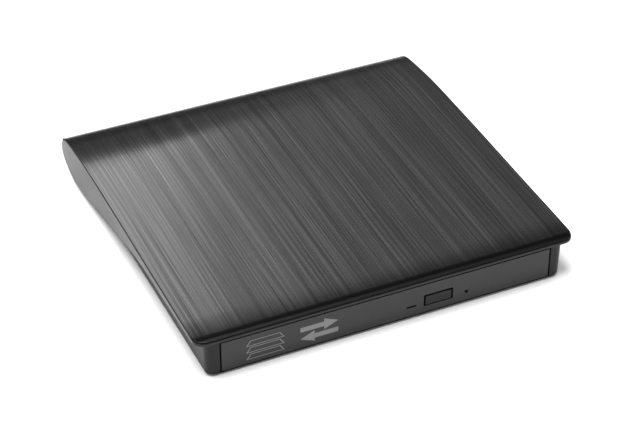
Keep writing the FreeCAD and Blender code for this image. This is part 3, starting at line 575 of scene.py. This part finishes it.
def brushed_skin():
    """Dark anodised aluminium brushed from front to back: fine lines and broader bands, with painted shade
    along the front crease.
    """
    finish = Finish("brushed_skin")
    slightly_left = finish.turned_place(0.7)
    slightly_right = finish.turned_place(-0.5)
    fine = finish.noise(1.0, 2.0, 0.6, finish.stretched((9000.0, 16.0, 300.0)))
    lines = finish.noise(1.0, 2.0, 0.6, finish.stretched((4200.0, 9.0, 90.0), slightly_left))
    wider = finish.noise(1.0, 2.0, 0.6, finish.stretched((1700.0, 7.0, 40.0), slightly_right))
    bands = finish.noise(1.0, 3.0, 0.6, finish.stretched((300.0, 3.0, 12.0)))
    mix = finish.maths("ADD", finish.maths("MULTIPLY", fine, 0.34),
                       finish.maths("MULTIPLY", lines, 0.38))
    mix = finish.maths("ADD", mix, finish.maths("MULTIPLY", wider, 0.14))
    mix = finish.maths("ADD", mix, finish.maths("MULTIPLY", bands, 0.14))
    streak = finish.fit(mix, 0.40, 0.61, 0.0, 1.0)
    tone = finish.blend_colours(streak, grey(0.05, (0.99, 1.0, 1.01)),
                                grey(0.165, (1.0, 1.0, 1.01)))
    near_crease = finish.fit(finish.axis("Y"), deep(12.0), deep(0.0), 0.0, 1.0)
    # Painted shade: the sheet's colour goes to near black over the front 1.6 mm and fades back to its own
    # tone by 2.7 mm, for the dark crease at the front.
    painted_crease_shade = finish.fit(finish.axis("Y"), deep(2.7), deep(1.6), 0.0, 1.0)
    tone = finish.blend_colours(painted_crease_shade, tone, grey(0.035))
    wear = finish.maths("MULTIPLY", finish.edge_wear(0.0003),
                        finish.maths("SUBTRACT", 0.4, near_crease))
    finish.drive("Base Color", finish.blend_colours(
        finish.maths("MAXIMUM", wear, 0.0), tone, grey(0.3)))
    smudges = finish.fit(finish.noise(14.0, 4.0, 0.6, distortion=0.8), 0.35, 0.7, -0.01, 0.02)
    finish.drive("Roughness", finish.maths(
        "ADD", finish.fit(streak, 0.0, 1.0, 0.19, 0.22), smudges))
    finish.constant(Metallic=1.0, Anisotropic=0.93, Anisotropic_Rotation=0.0)
    tangent = finish.tree.nodes.new("ShaderNodeTangent")
    tangent.direction_type = "UV_MAP"
    tangent.uv_map = "brush"
    finish.tree.links.new(tangent.outputs["Tangent"], finish.shader.inputs["Tangent"])
    # The sheet turns down slightly over the last 12 mm before the front crease.
    turn_down = finish.maths("MULTIPLY", finish.maths("MULTIPLY", near_crease, near_crease), -1.0)
    finish.bump((mix, 5.0e-6), (turn_down, 4.0e-4))
    return finish.material


def shaded_skin_edge():
    """The sheared and anodised edge of the brushed sheet, painted near black and almost without reflection:
    painted shade along the sheet's edges.
    """
    finish = Finish("shaded_skin_edge")
    grain = finish.noise(1.0, 3.0, 0.6, finish.stretched((1500.0, 1500.0, 9000.0)))
    finish.drive("Base Color", finish.blend_colours(
        finish.fit(grain, 0.3, 0.7, 0.0, 1.0), grey(0.002), grey(0.005)))
    finish.drive("Roughness", finish.fit(grain, 0.3, 0.7, 0.5, 0.62))
    finish.constant(Specular_IOR_Level=0.05)
    finish.bump((grain, 4.0e-6))
    return finish.material


def metal(name, tone, rough, scale, spots=0.0, depth=2.5e-6):
    """Sheet or turned metal, with rolling lines, any spangle and brighter edges."""
    finish = Finish(name)
    rolled = finish.noise(1.0, 3.0, 0.6, finish.stretched(scale))
    cloud = finish.noise(60.0, 5.0, 0.65, distortion=0.4)
    mixed = finish.maths("ADD", finish.maths("MULTIPLY", rolled, 0.5),
                         finish.maths("MULTIPLY", cloud, 0.5))
    tone_now = finish.blend_colours(finish.fit(mixed, 0.35, 0.65, 0.0, 1.0),
                                    grey(tone * 0.8), grey(min(1.0, tone * 1.15)))
    if spots:
        spangle = finish.cells(420.0)
        tone_now = finish.blend_colours(finish.fit(spangle, 0.1, 0.6, 0.0, spots), tone_now,
                                        grey(min(1.0, tone * 1.4)))
    edges = finish.maths("MULTIPLY", finish.edge_wear(0.0002), 0.3)
    finish.drive("Base Color", finish.blend_colours(edges, tone_now, grey(0.85)))
    finish.drive("Roughness", finish.fit(mixed, 0.3, 0.7, rough - 0.07, rough + 0.1))
    finish.constant(Metallic=1.0)
    finish.bump((rolled, depth), (finish.noise(3000.0, 2.0), depth * 0.4))
    return finish.material


def disc_metal(name, tone, rough, centre):
    """Turned or polished metal with rings round an axis."""
    finish = Finish(name)
    moved = finish.tree.nodes.new("ShaderNodeMapping")
    moved.inputs["Location"].default_value = (-centre[0], -centre[1], 0.0)
    finish.tree.links.new(finish.place, moved.inputs["Vector"])
    away = finish.tree.nodes.new("ShaderNodeVectorMath")
    away.operation = "LENGTH"
    flat = finish.tree.nodes.new("ShaderNodeVectorMath")
    flat.operation = "MULTIPLY"
    flat.inputs[1].default_value = (1.0, 1.0, 0.0)
    finish.tree.links.new(moved.outputs["Vector"], flat.inputs[0])
    finish.tree.links.new(flat.outputs["Vector"], away.inputs[0])
    radius = away.outputs["Value"]
    line = finish.tree.nodes.new("ShaderNodeCombineXYZ")
    finish.tree.links.new(radius, line.inputs["X"])
    rings = finish.noise(9000.0, 2.0, 0.6, line.outputs["Vector"])
    cloud = finish.noise(120.0, 4.0, 0.6)
    finish.drive("Base Color", finish.blend_colours(
        finish.fit(rings, 0.3, 0.7, 0.0, 1.0), grey(tone * 0.82), grey(min(1.0, tone * 1.12))))
    finish.drive("Roughness", finish.fit(cloud, 0.3, 0.7, rough - 0.05, rough + 0.08))
    finish.constant(Metallic=1.0, Anisotropic=0.4)
    finish.bump((rings, 1.5e-6))
    return finish.material


# --- Finer pieces in place of plain ones ------------------

def refined(name, width):
    """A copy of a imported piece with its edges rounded, to stand in for it."""
    source = nodes[name]
    made = bpy.data.objects.new(name + "_fine", source.data.copy())
    bpy.context.scene.collection.objects.link(made)
    made.data.materials.clear()
    for layer in list(made.data.attributes):
        if layer.name == "custom_normal":
            made.data.attributes.remove(layer)
    shape = bmesh.new()
    shape.from_mesh(made.data)
    bmesh.ops.remove_doubles(shape, verts=shape.verts, dist=1.0e-6)
    bmesh.ops.dissolve_limit(shape, angle_limit=math.radians(0.8), verts=shape.verts,
                             edges=shape.edges, use_dissolve_boundaries=False)
    shape.to_mesh(made.data)
    shape.free()
    return finish_edges(made, width, 2, 38.0)


def join(name, pieces):
    """One mesh object from several."""
    shape = bmesh.new()
    for piece in pieces:
        shape.from_mesh(piece.data)
    mesh = bpy.data.meshes.new(name)
    shape.to_mesh(mesh)
    shape.free()
    for piece in pieces:
        bpy.data.objects.remove(piece)
    made = bpy.data.objects.new(name, mesh)
    bpy.context.scene.collection.objects.link(made)
    return made


def turned(name, profile, x, y, steps=48):
    """A turned piece on an upright axis, from (radius, height) points, lowest first."""
    rings = [(round_outline(x, y, radius, steps), height) for radius, height in profile]
    return loft(name, "Z", rings)


def make_feet():
    """Four round rubber pads with a softened lower edge."""
    half_section = [(3.2, 0.0), (3.85, 0.03), (4.2, 0.12), (4.42, 0.28), (4.5, 0.5), (4.5, 0.85)]
    profile = [(radius * MM, height * MM) for radius, height in half_section]
    feet = [turned("foot", profile, x, y) for x, y in FOOT_PLACES]
    return finish_edges(join("foot_pads", feet), 0.0)


def make_screw_set(name, places, head_radius, head, shank_radius, shank, faces_down):
    """Crosshead screws: a domed head with its recess, and a threaded shank."""
    low, high = head
    screws = []
    for x, y in places:
        rise = high - low
        if faces_down:
            face, back, sign = low, high, 1.0
        else:
            face, back, sign = high, low, -1.0
        profile = [(0.80 * head_radius, face), (0.93 * head_radius, face + sign * 0.10 * rise),
                   (head_radius, face + sign * 0.35 * rise), (head_radius, back)]
        body = turned("head", profile if faces_down else profile[::-1], x, y, 40)
        cross = []
        arm, half = 0.62 * head_radius, 0.14 * head_radius
        reach = sign * 0.62 * rise
        z_span = sorted((face - sign * 0.2 * MM, face + reach))
        for a, b in ((arm, half), (half, arm)):
            cross.append(box_piece("arm", (x - a, y - b, z_span[0]), (x + a, y + b, z_span[1])))
        combine(body, cross, "DIFFERENCE")
        thread = []
        pitch = 0.5 * MM
        count = int((shank[1] - shank[0]) / pitch)
        for i in range(count):
            base = shank[0] + i * pitch
            thread += [(shank_radius * 0.84, base), (shank_radius, base + 0.4 * pitch),
                       (shank_radius, base + 0.6 * pitch)]
        thread.append((shank_radius * 0.84, shank[0] + count * pitch))
        thread.append((shank_radius * 0.5, shank[1]))
        screws += [body, turned("shank", thread, x, y, 24)]
    return finish_edges(join(name, screws), 0.0)


# The pickup's frame of reference: along its way outwards from the spindle, and across it.
SPINDLE_Y = deep(66.2)
ALONG = Vector((-math.sqrt(0.5), -math.sqrt(0.5), 0.0))
ACROSS = Vector((math.sqrt(0.5), -math.sqrt(0.5), 0.0))


def on_sled(along, across, height):
    """A point in the frame from its place along and across the pickup's way, in millimetres."""
    return Vector((0.0, SPINDLE_Y, height * MM)) + ALONG * along * MM + ACROSS * across * MM


def make_lead_screw():
    """A two-sided thread of 3 mm pitch on a plain rod."""
    start, end, around, pitch = 12.2, 56.8, 28, 3.0
    screw_across, screw_height = -19.0, 6.75
    count = int((end - start) / pitch * 24)
    vertices, faces = [], []
    for ring in range(count + 1):
        along = start + (end - start) * ring / count
        cut = 1.0 if 1.2 < along - start and 1.2 < end - along else 0.0
        for step in range(around):
            turn = 2 * math.pi * step / around
            phase = (step / around - (along - start) / pitch) % 1.0
            groove = max(0.0, 1.0 - abs(phase - 0.5) * 6.0)
            radius = 0.97 - 0.27 * groove * cut
            vertices.append(on_sled(along, screw_across + radius * math.cos(turn),
                                    screw_height + radius * math.sin(turn)))
    for ring in range(count):
        for step in range(around):
            following = (step + 1) % around
            low, high = ring * around, (ring + 1) * around
            faces.append((low + step, low + following, high + following, high + step))
    faces.append(tuple(range(around)))
    faces.append(tuple(range(count * around, (count + 1) * around)))
    made = mesh_object("lead_screw_thread", vertices, faces)
    made.data.shade_smooth()
    made.data.set_sharp_from_angle(angle=math.radians(50.0))
    return made


def make_coil_spring(name, low, high, turns, wire):
    """A wound spring that fills a box that is longest along Y."""
    middle_x, middle_z = (low.x + high.x) / 2, (low.z + high.z) / 2
    coil = min(high.x - low.x, high.z - low.z) / 2 - wire
    steps, around = turns * 20, 8
    length = high.y - low.y - 2 * wire
    vertices, faces = [], []
    for step in range(steps + 1):
        turn = 2 * math.pi * turns * step / steps
        out = Vector((math.cos(turn), 0.0, math.sin(turn)))
        centre = Vector((middle_x, low.y + wire + length * step / steps, middle_z)) + out * coil
        for i in range(around):
            angle = 2 * math.pi * i / around
            vertices.append(centre + out * wire * math.cos(angle)
                            + Vector((0.0, wire * math.sin(angle), 0.0)))
    for step in range(steps):
        for i in range(around):
            j = (i + 1) % around
            near, far = step * around, (step + 1) * around
            faces.append((near + i, near + j, far + j, far + i))
    faces.append(tuple(range(around)))
    faces.append(tuple(range(steps * around, (steps + 1) * around)))
    made = mesh_object(name, vertices, faces)
    made.data.shade_smooth()
    return made


def make_strip(name, path):
    """A length of the ribbon that follows a path of (y, z) points, closed all round."""
    x0, x1 = RIBBON_SPAN
    rows = 9
    line = np.array(path, float)
    run = np.gradient(line, axis=0)
    run /= np.linalg.norm(run, axis=1)[:, None]
    side = np.column_stack((-run[:, 1], run[:, 0])) * RIBBON_THICKNESS / 2
    outline = list(line + side) + list((line - side)[::-1])
    rings = [(outline, x0 + (x1 - x0) * i / (rows - 1)) for i in range(rows)]
    made = loft(name, "X", rings)
    made.data.shade_smooth()
    made.data.set_sharp_from_angle(angle=math.radians(40.0))
    return made


def ink(name, outlines):
    """Printed marks on the bezel's face: (outline, holes) pairs in x and z millimetres."""
    pieces = []
    for outline, holes in outlines:
        mark = prism("ink", "Y", [(x * MM, z * MM) for x, z in outline],
                     FRONT - 0.012 * MM, FRONT + 0.01 * MM)
        cuts = [prism("cut", "Y", [(x * MM, z * MM) for x, z in hole],
                      FRONT - 0.05 * MM, FRONT + 0.05 * MM) for hole in holes]
        pieces.append(combine(mark, cuts, "DIFFERENCE"))
    return join(name, pieces)


# --- Build the pieces -------------------------------------

top_skin = make_top_skin()
upper_shell, soffit = make_upper_shell()
base_shell = make_base_shell()
front_bezel = make_bezel()
eject_button = make_button()
foot_pads = make_feet()
housing_screws = make_screw_set("cover_screws", PILLAR_PLACES, 1.8 * MM, (0.9 * MM, 2.2 * MM),
                                0.95 * MM, (2.2 * MM, 9.5 * MM), True)
drive_screws = make_screw_set("case_screws", DRIVE_PLACES, 1.5 * MM, (0.75 * MM, 1.1 * MM),
                              0.8 * MM, (1.1 * MM, 2.9 * MM), True)
lid_screws = make_screw_set("top_case_screws", LID_PLACES, 1.5 * MM, (13.5 * MM, 13.9 * MM),
                            0.75 * MM, (11.6 * MM, 13.5 * MM), False)
lead_screw = make_lead_screw()
spring_low, spring_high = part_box("ejector_spring")
ejector_spring = make_coil_spring("wound_spring", spring_low, spring_high, 18, 0.16 * MM)

# Ribbons: the lower half rolls over with the middle rails and the upper half draws forward.
fold_middle, fold_radius = (RIBBON_LOWER + RIBBON_UPPER) / 2, (RIBBON_UPPER - RIBBON_LOWER) / 2
lower_path = [(deep(123.6 - (123.6 - RIBBON_FOLD) * i / 60), RIBBON_LOWER * MM)
              for i in range(61)]
lower_path += [(deep(RIBBON_FOLD - fold_radius * math.sin(math.radians(turn))),
                (fold_middle - fold_radius * math.cos(math.radians(turn))) * MM)
               for turn in range(15, 181, 15)]
ribbon_lower = make_strip("flat_cable_lower", lower_path)
upper_path = [(deep(RIBBON_FOLD + (119.0 - RIBBON_FOLD) * i / 40), RIBBON_UPPER * MM)
              for i in range(41)]
ribbon_upper = make_strip("flat_cable_upper", upper_path)


# Generic pictograms: a stack of outlined layers, and a pair of opposed arrows.

def slab(x, z, width, rise, lean):
    """A slab seen from its long side and a little above."""
    return [(x, z), (x + width, z), (x + width - lean, z + rise), (x + lean, z + rise)]


layer_marks = []
for level in range(3):
    z = 3.2 + 2.9 * level
    layer_marks.append((slab(-54.9, z, 14.4, 2.3, 1.6),
                        [slab(-54.35, z + 0.24, 13.3, 1.82, 1.27)]))
arrow_marks = []
for mirror, z in ((1, 9.4), (-1, 5.4)):
    shaft = [(-7.2, -1.0), (1.8, -1.0), (1.8, -2.4), (7.2, 0.0), (1.8, 2.4), (1.8, 1.0),
             (-7.2, 1.0)]
    outline = [(-27.3 + mirror * a, z + b) for a, b in shaft]
    arrow_marks.append((outline if mirror > 0 else outline[::-1], []))
layers_ink = ink("layers_pictogram", layer_marks)
arrows_ink = ink("arrows_pictogram", arrow_marks)

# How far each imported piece's edges are rounded, in millimetres.
FINE_EDGES = {
    "drive_pan": 0.10, "drive_lid": 0.10, "disc_tray": 0.16, "guide_left": 0.08,
    "guide_right": 0.08, "rail_left": 0.10, "rail_right": 0.10, "mechanism_cover": 0.08,
    "mechanism_frame": 0.08, "pickup_base": 0.12, "pickup_cover": 0.05, "turntable": 0.10,
    "turntable_ring": 0.05, "motor_rotor": 0.12, "lens_holder": 0.06, "objective_lens": 0.10,
    "latch_lever": 0.10, "latch_post": 0.12, "guide_rods": 0.10, "usb_socket": 0.05,
    "usb_tongue": 0.06, "bridge_board": 0.05, "tray_board": 0.05, "tray_shield": 0.05,
    "disc_clamps": 0.06, "sled_motor": 0.12, "latch_solenoid": 0.10, "ejector_pusher": 0.10,
}
body_of_node = {name: body_of(nodes[name])[0] for name in nodes}

placed = [
    (top_skin, "top_skin"), (upper_shell, "upper_shell"), (soffit, "upper_shell"),
    (base_shell, "base_shell"), (front_bezel, "front_bezel"), (eject_button, "eject_button"),
    (foot_pads, "rubber_feet"), (housing_screws, "housing_screws"),
    (drive_screws, "drive_screws"), (lid_screws, "lid_screws"), (lead_screw, "lead_screw"),
    (ejector_spring, "ejector_spring"), (layers_ink, "front_bezel"), (arrows_ink, "front_bezel"),
    (ribbon_lower, "ribbon_lower"), (ribbon_upper, "ribbon_upper"),
]
placed += [(refined(name, width * MM), name) for name, width in FINE_EDGES.items()]
for piece, name in placed:
    if piece not in (layers_ink, arrows_ink, soffit):
        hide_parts(name)
    if piece is ribbon_lower:
        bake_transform(piece, "housing", "rails", start=(0, deep(118.0), 0), end=(0, deep(58.0), 0))
    else:
        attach(piece, body_of_node[name])
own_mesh(ribbon_upper)

# --- Finishes on every piece ------------------------------

def circuit_board():
    """Green solder mask over lanes, with specks of bare copper."""
    finish = Finish("circuit_board")
    mask = finish.noise(300.0, 4.0, 0.6)
    lanes = finish.tree.nodes.new("ShaderNodeTexBrick")
    lanes.inputs["Scale"].default_value = 900.0
    lanes.inputs["Mortar Size"].default_value = 0.035
    finish.tree.links.new(finish.place, lanes.inputs["Vector"])
    copper = finish.fit(finish.cells(700.0), 0.0, 0.12, 1.0, 0.0)
    base = finish.blend_colours(finish.fit(mask, 0.3, 0.7, 0.0, 1.0),
                                (0.008, 0.065, 0.03, 1.0), (0.016, 0.11, 0.055, 1.0))
    base = finish.blend_colours(finish.maths("MULTIPLY", lanes.outputs["Fac"], 0.6), base,
                                (0.03, 0.19, 0.09, 1.0))
    finish.drive("Base Color", finish.blend_colours(copper, base, (0.62, 0.5, 0.28, 1.0)))
    finish.drive("Roughness", finish.fit(mask, 0.3, 0.7, 0.26, 0.4))
    finish.constant(Coat_Weight=0.4, Coat_Roughness=0.15)
    finish.bump((lanes.outputs["Fac"], 8.0e-6), (mask, 4.0e-6))
    return finish.material


def ribbon_film():
    """Pale film with a conductor every millimetre."""
    finish = Finish("ribbon_film")
    across = finish.axis("X")
    wave = finish.maths("SINE", finish.maths("MULTIPLY", across, 2 * math.pi / 0.001))
    lane = finish.fit(wave, -0.1, 0.3, 0.0, 1.0)
    cloud = finish.noise(120.0, 3.0)
    film = finish.blend_colours(finish.fit(cloud, 0.3, 0.7, 0.0, 1.0),
                                (0.60, 0.58, 0.52, 1.0), (0.72, 0.70, 0.64, 1.0))
    finish.drive("Base Color", finish.blend_colours(
        finish.maths("MULTIPLY", lane, 0.55), film, (0.42, 0.40, 0.37, 1.0)))
    finish.drive("Roughness", finish.fit(cloud, 0.3, 0.7, 0.25, 0.4))
    finish.bump((lane, 1.2e-5))
    return finish.material


def lens_glass():
    """Coated glass with a blue sheen and a little dust."""
    finish = Finish("lens_glass")
    dust = finish.noise(4000.0, 3.0)
    finish.drive("Base Color", finish.blend_colours(
        finish.fit(dust, 0.3, 0.7, 0.0, 1.0), (0.16, 0.20, 0.42, 1.0), (0.26, 0.30, 0.55, 1.0)))
    finish.drive("Roughness", finish.fit(dust, 0.4, 0.8, 0.03, 0.14))
    finish.constant(Coat_Weight=1.0, Coat_Roughness=0.02, Specular_IOR_Level=0.8, Metallic=0.3)
    finish.bump((dust, 5.0e-7))
    return finish.material


def smoked_clear():
    """The light guide's dark smoked plastic."""
    finish = Finish("clear_plastic")
    cloud = finish.noise(1500.0, 3.0)
    finish.drive("Base Color", finish.blend_colours(
        finish.fit(cloud, 0.3, 0.7, 0.0, 1.0), (0.012, 0.013, 0.012, 1.0),
        (0.03, 0.032, 0.03, 1.0)))
    finish.drive("Roughness", finish.fit(cloud, 0.3, 0.7, 0.12, 0.25))
    finish.bump((cloud, 1.0e-6))
    return finish.material


finishes = {
    "brushed_skin": brushed_skin(),
    "shell_plastic": plastic("shell_plastic", grey(0.012), rough=0.34, grain=1.2e-6,
                             grain_scale=7000.0, wear=0.3, specular=0.19),
    "base_plastic": plastic("base_plastic", grey(0.01), rough=0.45, grain=3.5e-6,
                            grain_scale=6000.0, wear=0.25, specular=0.17),
    "bezel_plastic": plastic("bezel_plastic", grey(0.011), rough=0.40, grain=2.5e-6,
                             grain_scale=7000.0, wear=0.35, specular=0.34),
    "button_plastic": plastic("button_plastic", grey(0.007), rough=0.42, grain=2.0e-6,
                              grain_scale=7500.0, wear=0.3, specular=0.2),
    "foot_rubber": plastic("foot_rubber", grey(0.018), rough=0.75, grain=9.0e-6,
                           grain_scale=3200.0, wear=0.2, specular=0.3, variation=0.2),
    "tray_plastic": plastic("tray_plastic", grey(0.03), rough=0.42, grain=3.0e-6,
                            grain_scale=6000.0, wear=0.4),
    "guide_plastic": plastic("guide_plastic", (0.62, 0.60, 0.55), rough=0.45, grain=2.0e-6,
                             wear=0.1, worn=(0.75, 0.74, 0.70, 1.0)),
    "connector_plastic": plastic("connector_plastic", grey(0.03), rough=0.5, wear=0.3),
    "chip_resin": plastic("chip_resin", grey(0.022), rough=0.55, grain=4.0e-6, wear=0.2),
    "capacitor_ceramic": plastic("capacitor_ceramic", (0.40, 0.29, 0.19), rough=0.5,
                                 grain=4.0e-6),
    "turntable_plastic": plastic("turntable_plastic", grey(0.05), rough=0.4, wear=0.4),
    "cover_paint": plastic("cover_paint", grey(0.022), rough=0.5, grain=6.0e-6,
                           grain_scale=4200.0, wear=0.6, worn=grey(0.3)),
    "led_resin": plastic("led_resin", (0.42, 0.62, 0.40), rough=0.2, grain=1.0e-6, coat=0.6),
    "screw_steel": metal("screw_steel", 0.33, 0.3, (900.0, 900.0, 60.0)),
    "tin_plate": metal("tin_plate", 0.55, 0.3, (60.0, 900.0, 900.0)),
    "zinc_steel": metal("zinc_steel", 0.52, 0.36, (40.0, 900.0, 900.0), spots=0.35),
    "rail_steel": metal("rail_steel", 0.5, 0.28, (900.0, 25.0, 900.0), depth=1.5e-6),
    "spring_steel": metal("spring_steel", 0.5, 0.25, (900.0, 900.0, 900.0)),
    "frame_metal": metal("frame_metal", 0.42, 0.42, (200.0, 200.0, 200.0), depth=5.0e-6),
    "polished_steel": disc_metal("polished_steel", 0.6, 0.18, (0.0, SPINDLE_Y)),
    "circuit_board": circuit_board(),
    "ribbon_film": ribbon_film(),
    "lens_glass": lens_glass(),
    "clear_plastic": smoked_clear(),
}
edge_shade_finish = shaded_skin_edge()
# Painted shade: a near-black, dull plastic for faces inside gaps and recesses, where shade falls.
gap_shade_finish = plastic("gap_shade_plastic", grey(0.005), rough=0.7, grain=4.0e-6, wear=0.0,
                     worn=grey(0.01), specular=0.08)
bezel_ink = plastic("bezel_ink", grey(0.16), rough=0.5, grain=1.5e-6, grain_scale=9000.0,
                    wear=0.0, worn=grey(0.16))

node_slot = {part["node"]: part["material_slot"] for part in frame["record"]["subparts"]}
for name, node in nodes.items():
    node.data.materials.clear()
    node.data.materials.append(finishes[node_slot[name]])
for piece, name in placed:
    piece.data.materials.clear()
    is_ink = piece in (layers_ink, arrows_ink)
    piece.data.materials.append(bezel_ink if is_ink else finishes[node_slot[name]])


def second_finish(piece, material, picked):
    """Give the faces for which picked says yes another finish."""
    piece.data.materials.append(material)
    for face in piece.data.polygons:
        if picked(face.center, face.normal):
            face.material_index = 1


# Painted shade: the skin's edge faces at the front and sides take the near-black edge finish, for the dark
# line along its edges.
second_finish(top_skin, edge_shade_finish, lambda place, normal: normal.z < 0.95 and (
    abs(normal.x) > 0.4 or normal.y < -0.07))
# Painted shade in the gaps: these faces go near black. They are the bezel's side faces and the bevels round
# the button opening, the button's sides, the base's lip and mouth, and the underside of the bar under the
# rim.
second_finish(front_bezel, gap_shade_finish, lambda place, normal: normal.y > -0.5 or (
    normal.y > -0.93 and abs(place.x - 19.0 * MM) < 13.0 * MM and 3 * MM < place.z < 10 * MM))
second_finish(eject_button, gap_shade_finish, lambda place, normal: normal.y > -0.8)
second_finish(base_shell, gap_shade_finish, lambda place, normal: (
    abs(place.x) < OPENING_HALF + 0.2 * MM and place.y < deep(8.0)
    and (place.z > 0.8 * MM and normal.y > -0.5 or place.z < 1.12 * MM and normal.y < -0.3)))
second_finish(soffit, gap_shade_finish, lambda place, normal: normal.z < -0.5)

# --- Stage, camera and light ------------------------------

def paper():
    """The pale matt sheet that the drive stands on."""
    finish = Finish("paper")
    cloud = finish.noise(3.0, 4.0, 0.6)
    finish.drive("Base Color", finish.blend_colours(
        finish.fit(cloud, 0.3, 0.7, 0.0, 1.0), grey(0.93), grey(0.95)))
    finish.drive("Roughness", finish.fit(cloud, 0.3, 0.7, 0.6, 0.68))
    finish.constant(Specular_IOR_Level=0.25)
    finish.bump((finish.noise(500.0, 3.0), 4.0e-6))
    return finish.material


# The floor lies a hair under the feet, so that the two faces don't fight.
FLOOR_HALF, FLOOR_LEVEL = 6.0, -2.0e-5
floor_corners = [(x * FLOOR_HALF, y * FLOOR_HALF, FLOOR_LEVEL)
                 for x, y in ((-1, -1), (1, -1), (1, 1), (-1, 1))]
floor = mesh_object("floor", floor_corners, [(0, 1, 2, 3)])
floor.data.materials.append(paper())

AZIMUTH, ELEVATION = math.radians(-24.52), math.radians(36.17)
DISTANCE, FOCAL_LENGTH = 0.75775, 112.06
back = Vector((math.sin(AZIMUTH) * math.cos(ELEVATION),
               -math.cos(AZIMUTH) * math.cos(ELEVATION), math.sin(ELEVATION)))
target = Vector((4.99 * MM, deep(70.34), 0.7 * MM))
camera_data = bpy.data.cameras.new("camera")
camera = bpy.data.objects.new("camera", camera_data)
bpy.context.scene.collection.objects.link(camera)
camera.location = target + back * DISTANCE
camera.rotation_mode = "QUATERNION"
camera.rotation_quaternion = (-back).to_track_quat("-Z", "Y")
camera_data.sensor_width = 36.0
camera_data.lens = FOCAL_LENGTH
bpy.context.scene.camera = camera
bpy.context.scene.view_settings.view_transform = "Standard"


def softbox(name, centre, look_at, width, height, power):
    """A rectangular lamp of a size in metres and a power in watts."""
    data = bpy.data.lights.new(name, "AREA")
    data.shape = "RECTANGLE"
    data.size, data.size_y = width, height
    data.energy = power
    lamp = bpy.data.objects.new(name, data)
    bpy.context.scene.collection.objects.link(lamp)
    lamp.location = centre
    lamp.rotation_mode = "QUATERNION"
    lamp.rotation_quaternion = (Vector(look_at) - Vector(centre)).to_track_quat("-Z", "Y")


softbox("overhead", (-0.3, 0.0, 1.5), (0.0, 0.0, 0.0), 1.0, 0.9, 34.0)
softbox("left_panel", (-0.06, 0.25, 0.24), (-0.06, 0.0, 0.24), 0.20, 0.19, 0.23)

# The room: white all round, apart from a dark card behind the object. A long soft strip of
# light on the card shows in the brushed top, and fades out towards the right.
ROOM, STRIP, FILL, CARD = 0.88, 1.78, 0.17, 0.15
world = bpy.data.worlds.new("surroundings")
bpy.context.scene.world = world
world.use_nodes = True
sky = world.node_tree


def sky_node(kind, inputs):
    """A node of the world with its inputs set or linked."""
    made = sky.nodes.new(kind)
    for socket, value in inputs.items():
        if isinstance(value, bpy.types.NodeSocket):
            sky.links.new(value, made.inputs[socket])
        else:
            made.inputs[socket].default_value = value
    return made


def sky_maths(operation, a, b=0.0):
    made = sky_node("ShaderNodeMath", {0: a, 1: b})
    made.operation = operation
    return made.outputs[0]


def ramp(value, low, high, to_low=0.0, to_high=1.0):
    """A smooth step from one level to another as a value goes from low to high."""
    made = sky_node("ShaderNodeMapRange", {
        "Value": value, "From Min": low, "From Max": high, "To Min": to_low, "To Max": to_high})
    made.interpolation_type = "SMOOTHSTEP"
    return made.outputs["Result"]


# A direction's three parts, and its angle about Y, which is nought straight up.
direction = sky_node("ShaderNodeSeparateXYZ", {
    "Vector": sky.nodes.new("ShaderNodeTexCoord").outputs["Generated"]})
right, rear, up = (direction.outputs[letter] for letter in "XYZ")
round_y = sky_maths("ARCTAN2", right, up)
on_card = ramp(rear, 0.22, 0.34)
strip = sky_maths("MULTIPLY", ramp(rear, 0.56, 0.68), ramp(rear, 0.90, 0.80))
fading = ramp(round_y, math.radians(0.0), math.radians(34.0), STRIP, FILL)
strip = sky_maths("MULTIPLY", strip, fading)
card = sky_maths("ADD", strip, CARD)
brightness = sky_maths("ADD", sky_maths("MULTIPLY", card, on_card),
                       sky_maths("MULTIPLY", sky_maths("SUBTRACT", 1.0, on_card), ROOM))
# Matt surfaces are lit mostly from behind, so that the shadow falls forwards. The camera sees
# a plain white room.
path = sky.nodes.new("ShaderNodeLightPath")
for ray, level in (("Is Diffuse Ray", ramp(rear, -0.6, 0.6, 0.4, 1.2)), ("Is Camera Ray", 0.95)):
    chosen = path.outputs[ray]
    others = sky_maths("SUBTRACT", 1.0, chosen)
    brightness = sky_maths("ADD", sky_maths("MULTIPLY", brightness, others),
                           sky_maths("MULTIPLY", level, chosen))
background = sky.nodes["Background"]
background.inputs["Color"].default_value = (1.0, 1.0, 1.0, 1.0)
sky.links.new(brightness, background.inputs["Strength"])
